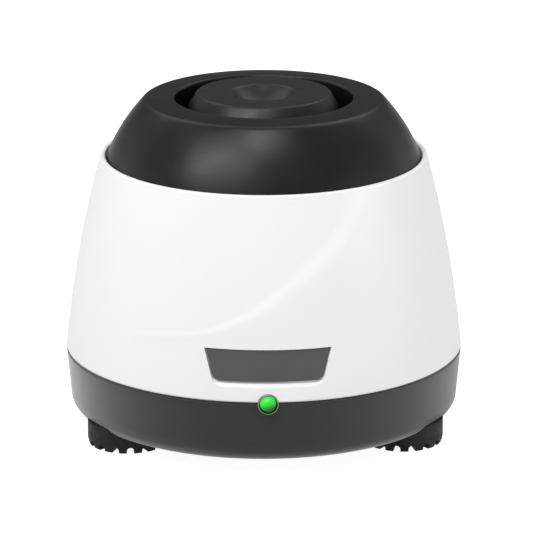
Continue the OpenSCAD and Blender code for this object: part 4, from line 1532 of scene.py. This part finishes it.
@dataclass
class Socket:
    """The power socket in the tray's rear, in millimetres.

    The tabs have a half width and a half height, and they stand at tab_place to both
    sides of the socket's middle.
    """

    shop: Workshop
    width: float = 9.0
    body_height: float = 8.8
    case_round: float = 0.35
    front: float = 46.28
    back: float = 34.58
    face: float = 49.56
    barrel: float = 4.0
    bore: float = 2.85
    depth: float = 9.0
    pin: float = 1.0
    pin_sink: float = 1.2
    rivet: float = 1.6
    tab: float = 2.4
    tab_size: Pair = (0.8, 0.3)
    tab_place: Pair = (2.0, 2.9)

    def build(self) -> None:
        """Builds the socket's body, pin and tabs."""
        half_w, half_h, middle = self.width / 2, self.body_height / 2, SOCKET_HEIGHT
        case = block((-half_w, self.back, middle - half_h), (half_w, self.front, middle + half_h))
        bmesh.ops.bevel(
            case, geom=case.edges[:], offset=self.case_round, segments=2, profile=0.5, affect="EDGES",
            material=-1,
        )
        barrel = Turning([
            Stop(0, self.front - PAST), Stop(self.barrel, self.front - PAST),
            Stop(self.barrel, self.face, rounding=0.3), Stop(0, self.face),
        ], steps=96, closed=False).mesh()
        bm = worked(case, moved(barrel, facing(1, middle)), Cut.ADD)
        floor = self.face - self.depth
        bore = moved(rod(self.bore, floor, self.face + PAST, 96), facing(1, middle))
        bm = worked(bm, bore, Cut.AWAY)
        self.shop.finish(bm, "socket_body", Slot.BLACK, "housing", ["jack_body"])
        foot, tip = self.back - self.tab, self.face - self.pin_sink
        pin = Turning([
            Stop(0, foot), Stop(self.rivet, foot), Stop(self.rivet, floor),
            Stop(self.pin, floor), Stop(self.pin, tip, rounding=0.6), Stop(0, tip),
        ], steps=64, closed=False).mesh()
        moved(pin, facing(1, middle))
        whole = joined([pin, self._tab(-1), self._tab(1)])
        self.shop.finish(whole, "socket_contacts", Slot.SCREW, "housing", ["jack_contacts"])

    def _tab(self, side: int) -> bmesh.types.BMesh:
        """Makes one soldering tab, at the lower left (-1) or the upper right (1)."""
        half, x, z = self.tab_size, side * self.tab_place[0], SOCKET_HEIGHT + side * self.tab_place[1]
        return block((x - half[0], self.back - self.tab, z - half[1]), (x + half[0], self.back, z + half[1]))


# ---- Works -----------------------------------------------------------------------------


class Works:
    """The inner pieces, which keep their own meshes and get their finishes."""

    def __init__(self, wardrobe: Wardrobe) -> None:
        """Keeps the wardrobe of finishes."""
        self.wardrobe = wardrobe

    def build(self) -> None:
        """Dresses every CAD node in the finish that the record names for it."""
        for part in frame["record"]["subparts"]:
            self.wardrobe.repaint(frame["nodes"][part["node"]], Slot(part["material_slot"]))
            LOG.info("%s: %s", part["node"], part["material_slot"])


# ---- Studio ----------------------------------------------------------------------------


@dataclass
class Softbox:
    """One soft lamp: its direction in degrees, its size in metres and its power."""

    name: str
    azimuth: float
    elevation: float
    size: Pair
    power: float


@dataclass
class Studio:
    """Camera, floor, surroundings and soft lamps.

    The camera's place is in millimetres, as are its lens and sensor, and the rest is
    in metres and degrees. A span is the stretch of a direction over which one light
    gives way to another. The mirrored values are the shares of the white background
    and of the floor's white that reflections show.
    """

    target: Triple = (0.0, 0.0, 20.3)
    azimuth: float = -1.2
    distance: float = 963.4
    rise: float = 304.3
    turn: float = 0.0639
    pitch: float = 16.64
    lens: float = 255.3
    sensor: float = 36.0
    sight: float = 20.0
    low_surround: float = 0.7
    high_surround: float = 0.3
    side_surround: float = 0.25
    rear_share: float = 0.08
    high_span: Pair = (0.1, 0.4)
    side_span: Pair = (0.15, 0.6)
    rear_span: Pair = (0.5, 0.9)
    mirrored: float = 0.2
    floor_mirrored: float = 0.5
    floor_size: float = 6.0
    floor_grey: float = 0.58
    floor_glow: float = 0.92
    lamp_aim: float = 0.045
    lamp_distance: float = 1.0
    lamps: tuple[Softbox, ...] = (
        Softbox("high", -2, 67, (0.3, 0.3), 2.4),
        Softbox("middle", -31, 49, (0.34, 0.34), 2.4),
        Softbox("low", -56, 41, (0.36, 0.34), 2.1),
        Softbox("right", 70, 3, (0.7, 0.16), 2.4),
        Softbox("left", -80, 3, (0.7, 0.16), 0.3),
        Softbox("rear_right", 140, 52, (0.7, 0.7), 1.8),
        Softbox("rear_left", -140, 52, (0.7, 0.7), 1.5),
    )

    def build(self) -> None:
        """Sets up the whole studio."""
        self._camera()
        self._floor()
        self._world()
        for lamp in self.lamps:
            self._lamp(lamp)
        bpy.context.scene.view_settings.view_transform = "Standard"

    def _camera(self) -> None:
        """Stands the camera at the viewing angle."""
        data = bpy.data.cameras.new("camera")
        data.sensor_fit = "VERTICAL"
        data.sensor_height = self.sensor
        data.lens = self.lens
        data.clip_end = self.sight
        camera = bpy.data.objects.new("camera", data)
        bpy.context.scene.collection.objects.link(camera)
        side = math.radians(self.azimuth)
        offset = Vector((math.sin(side), -math.cos(side), 0)) * self.distance + Vector((0, 0, self.rise))
        camera.location = (Vector(self.target) + offset) * MM
        heading = math.radians(self.azimuth - self.turn)
        camera.rotation_euler = Euler((math.radians(90 - self.pitch), 0, heading))
        bpy.context.scene.camera = camera

    @staticmethod
    def _seen(shade: Shade, mirrored: float) -> Wire:
        """Measures how far a ray meets the white background, in full where it is seen directly.

        Args:
            shade: The floor's or the world's nodes.
            mirrored: Share of the white background that glossy reflections show.

        Returns:
            The share of white, from 0 to 1.
        """
        path = shade.node("ShaderNodeLightPath")
        direct = path["Is Camera Ray"] + path["Is Transmission Ray"]
        return (direct + path["Is Glossy Ray"] * mirrored).ramp(0.0, 1.0)

    def _floor(self) -> None:
        """Lays the pale floor: white with a faint shadow, and clear from below."""
        bm = bmesh.new()
        bmesh.ops.create_grid(bm, x_segments=2, y_segments=2, size=self.floor_size / 2)
        floor = as_object(bm, "floor")
        material = bpy.data.materials.new("pale_floor")
        material.use_nodes = True
        shade = Shade(material.node_tree)
        seen = self._seen(shade, self.floor_mirrored)
        grey = (*(self.floor_grey,) * 3, 1)
        matt = shade.node("ShaderNodeBsdfDiffuse", None, {"Color": grey})["BSDF"]
        glow = {"Color": (1, 1, 1, 1), "Strength": seen * self.floor_glow}
        white = shade.node("ShaderNodeEmission", None, glow)["Emission"]
        pale = shade.node("ShaderNodeAddShader", None, {0: matt, 1: white})["Shader"]
        clear = shade.node("ShaderNodeBsdfTransparent")["BSDF"]
        below = shade.node("ShaderNodeNewGeometry")["Backfacing"]
        shade.close(shade.node("ShaderNodeMixShader", None, {0: below, 1: pale, 2: clear}))
        floor.data.materials.append(material)

    def _world(self) -> None:
        """Surrounds the part with plain pale light, white where it is seen."""
        world = bpy.data.worlds.new("surround")
        world.use_nodes = True
        shade = Shade(world.node_tree)
        seen = self._seen(shade, self.mirrored)
        way = shade.node("ShaderNodeTexCoord")["Generated"]
        parts = shade.node("ShaderNodeSeparateXYZ", None, {"Vector": way})
        high = parts["Z"].ramp(*self.high_span)
        rear = parts["Y"].ramp(*self.rear_span)
        side = (parts["X"] * parts["X"]).ramp(*self.side_span)
        low = side * self.side_surround + self.low_surround
        strength = high * self.high_surround + low * (1 - high)
        strength = strength * (rear * (self.rear_share - 1) + 1)
        strength = strength * (1 - seen) + seen
        pale = shade.node("ShaderNodeBackground", None, {"Color": (1, 1, 1, 1), "Strength": strength})
        shade.close(pale, "ShaderNodeOutputWorld")
        bpy.context.scene.world = world

    def _lamp(self, lamp: Softbox) -> None:
        """Hangs one soft lamp, turned towards the part.

        Args:
            lamp: The lamp's direction, size and power.
        """
        data = bpy.data.lights.new(lamp.name, "AREA")
        data.shape = "RECTANGLE"
        data.size, data.size_y = lamp.size
        data.energy = lamp.power
        light = bpy.data.objects.new(lamp.name, data)
        bpy.context.scene.collection.objects.link(light)
        side, lift = math.radians(lamp.azimuth), math.radians(lamp.elevation)
        ray = Vector((math.sin(side) * math.cos(lift), -math.cos(side) * math.cos(lift), math.sin(lift)))
        light.location = ray * self.lamp_distance + Vector((0, 0, self.lamp_aim))
        light.rotation_euler = ray.to_track_quat("Z", "Y").to_euler()


# ---- Assembly --------------------------------------------------------------------------


def main() -> None:
    """Builds the studio and then every piece of the part."""
    logging.basicConfig(level=logging.INFO, format="%(name)s %(message)s")
    Studio().build()
    wardrobe = Wardrobe()
    shop = Workshop(wardrobe)
    Works(wardrobe).build()
    housing = Housing(shop)
    housing.build()
    Lamp(shop).build()
    feet = Feet(shop)
    feet.build(housing)
    Cup(shop).build()
    Fasteners(shop).build(housing, feet)
    Socket(shop).build()


if __name__ == "__main__":
    main()
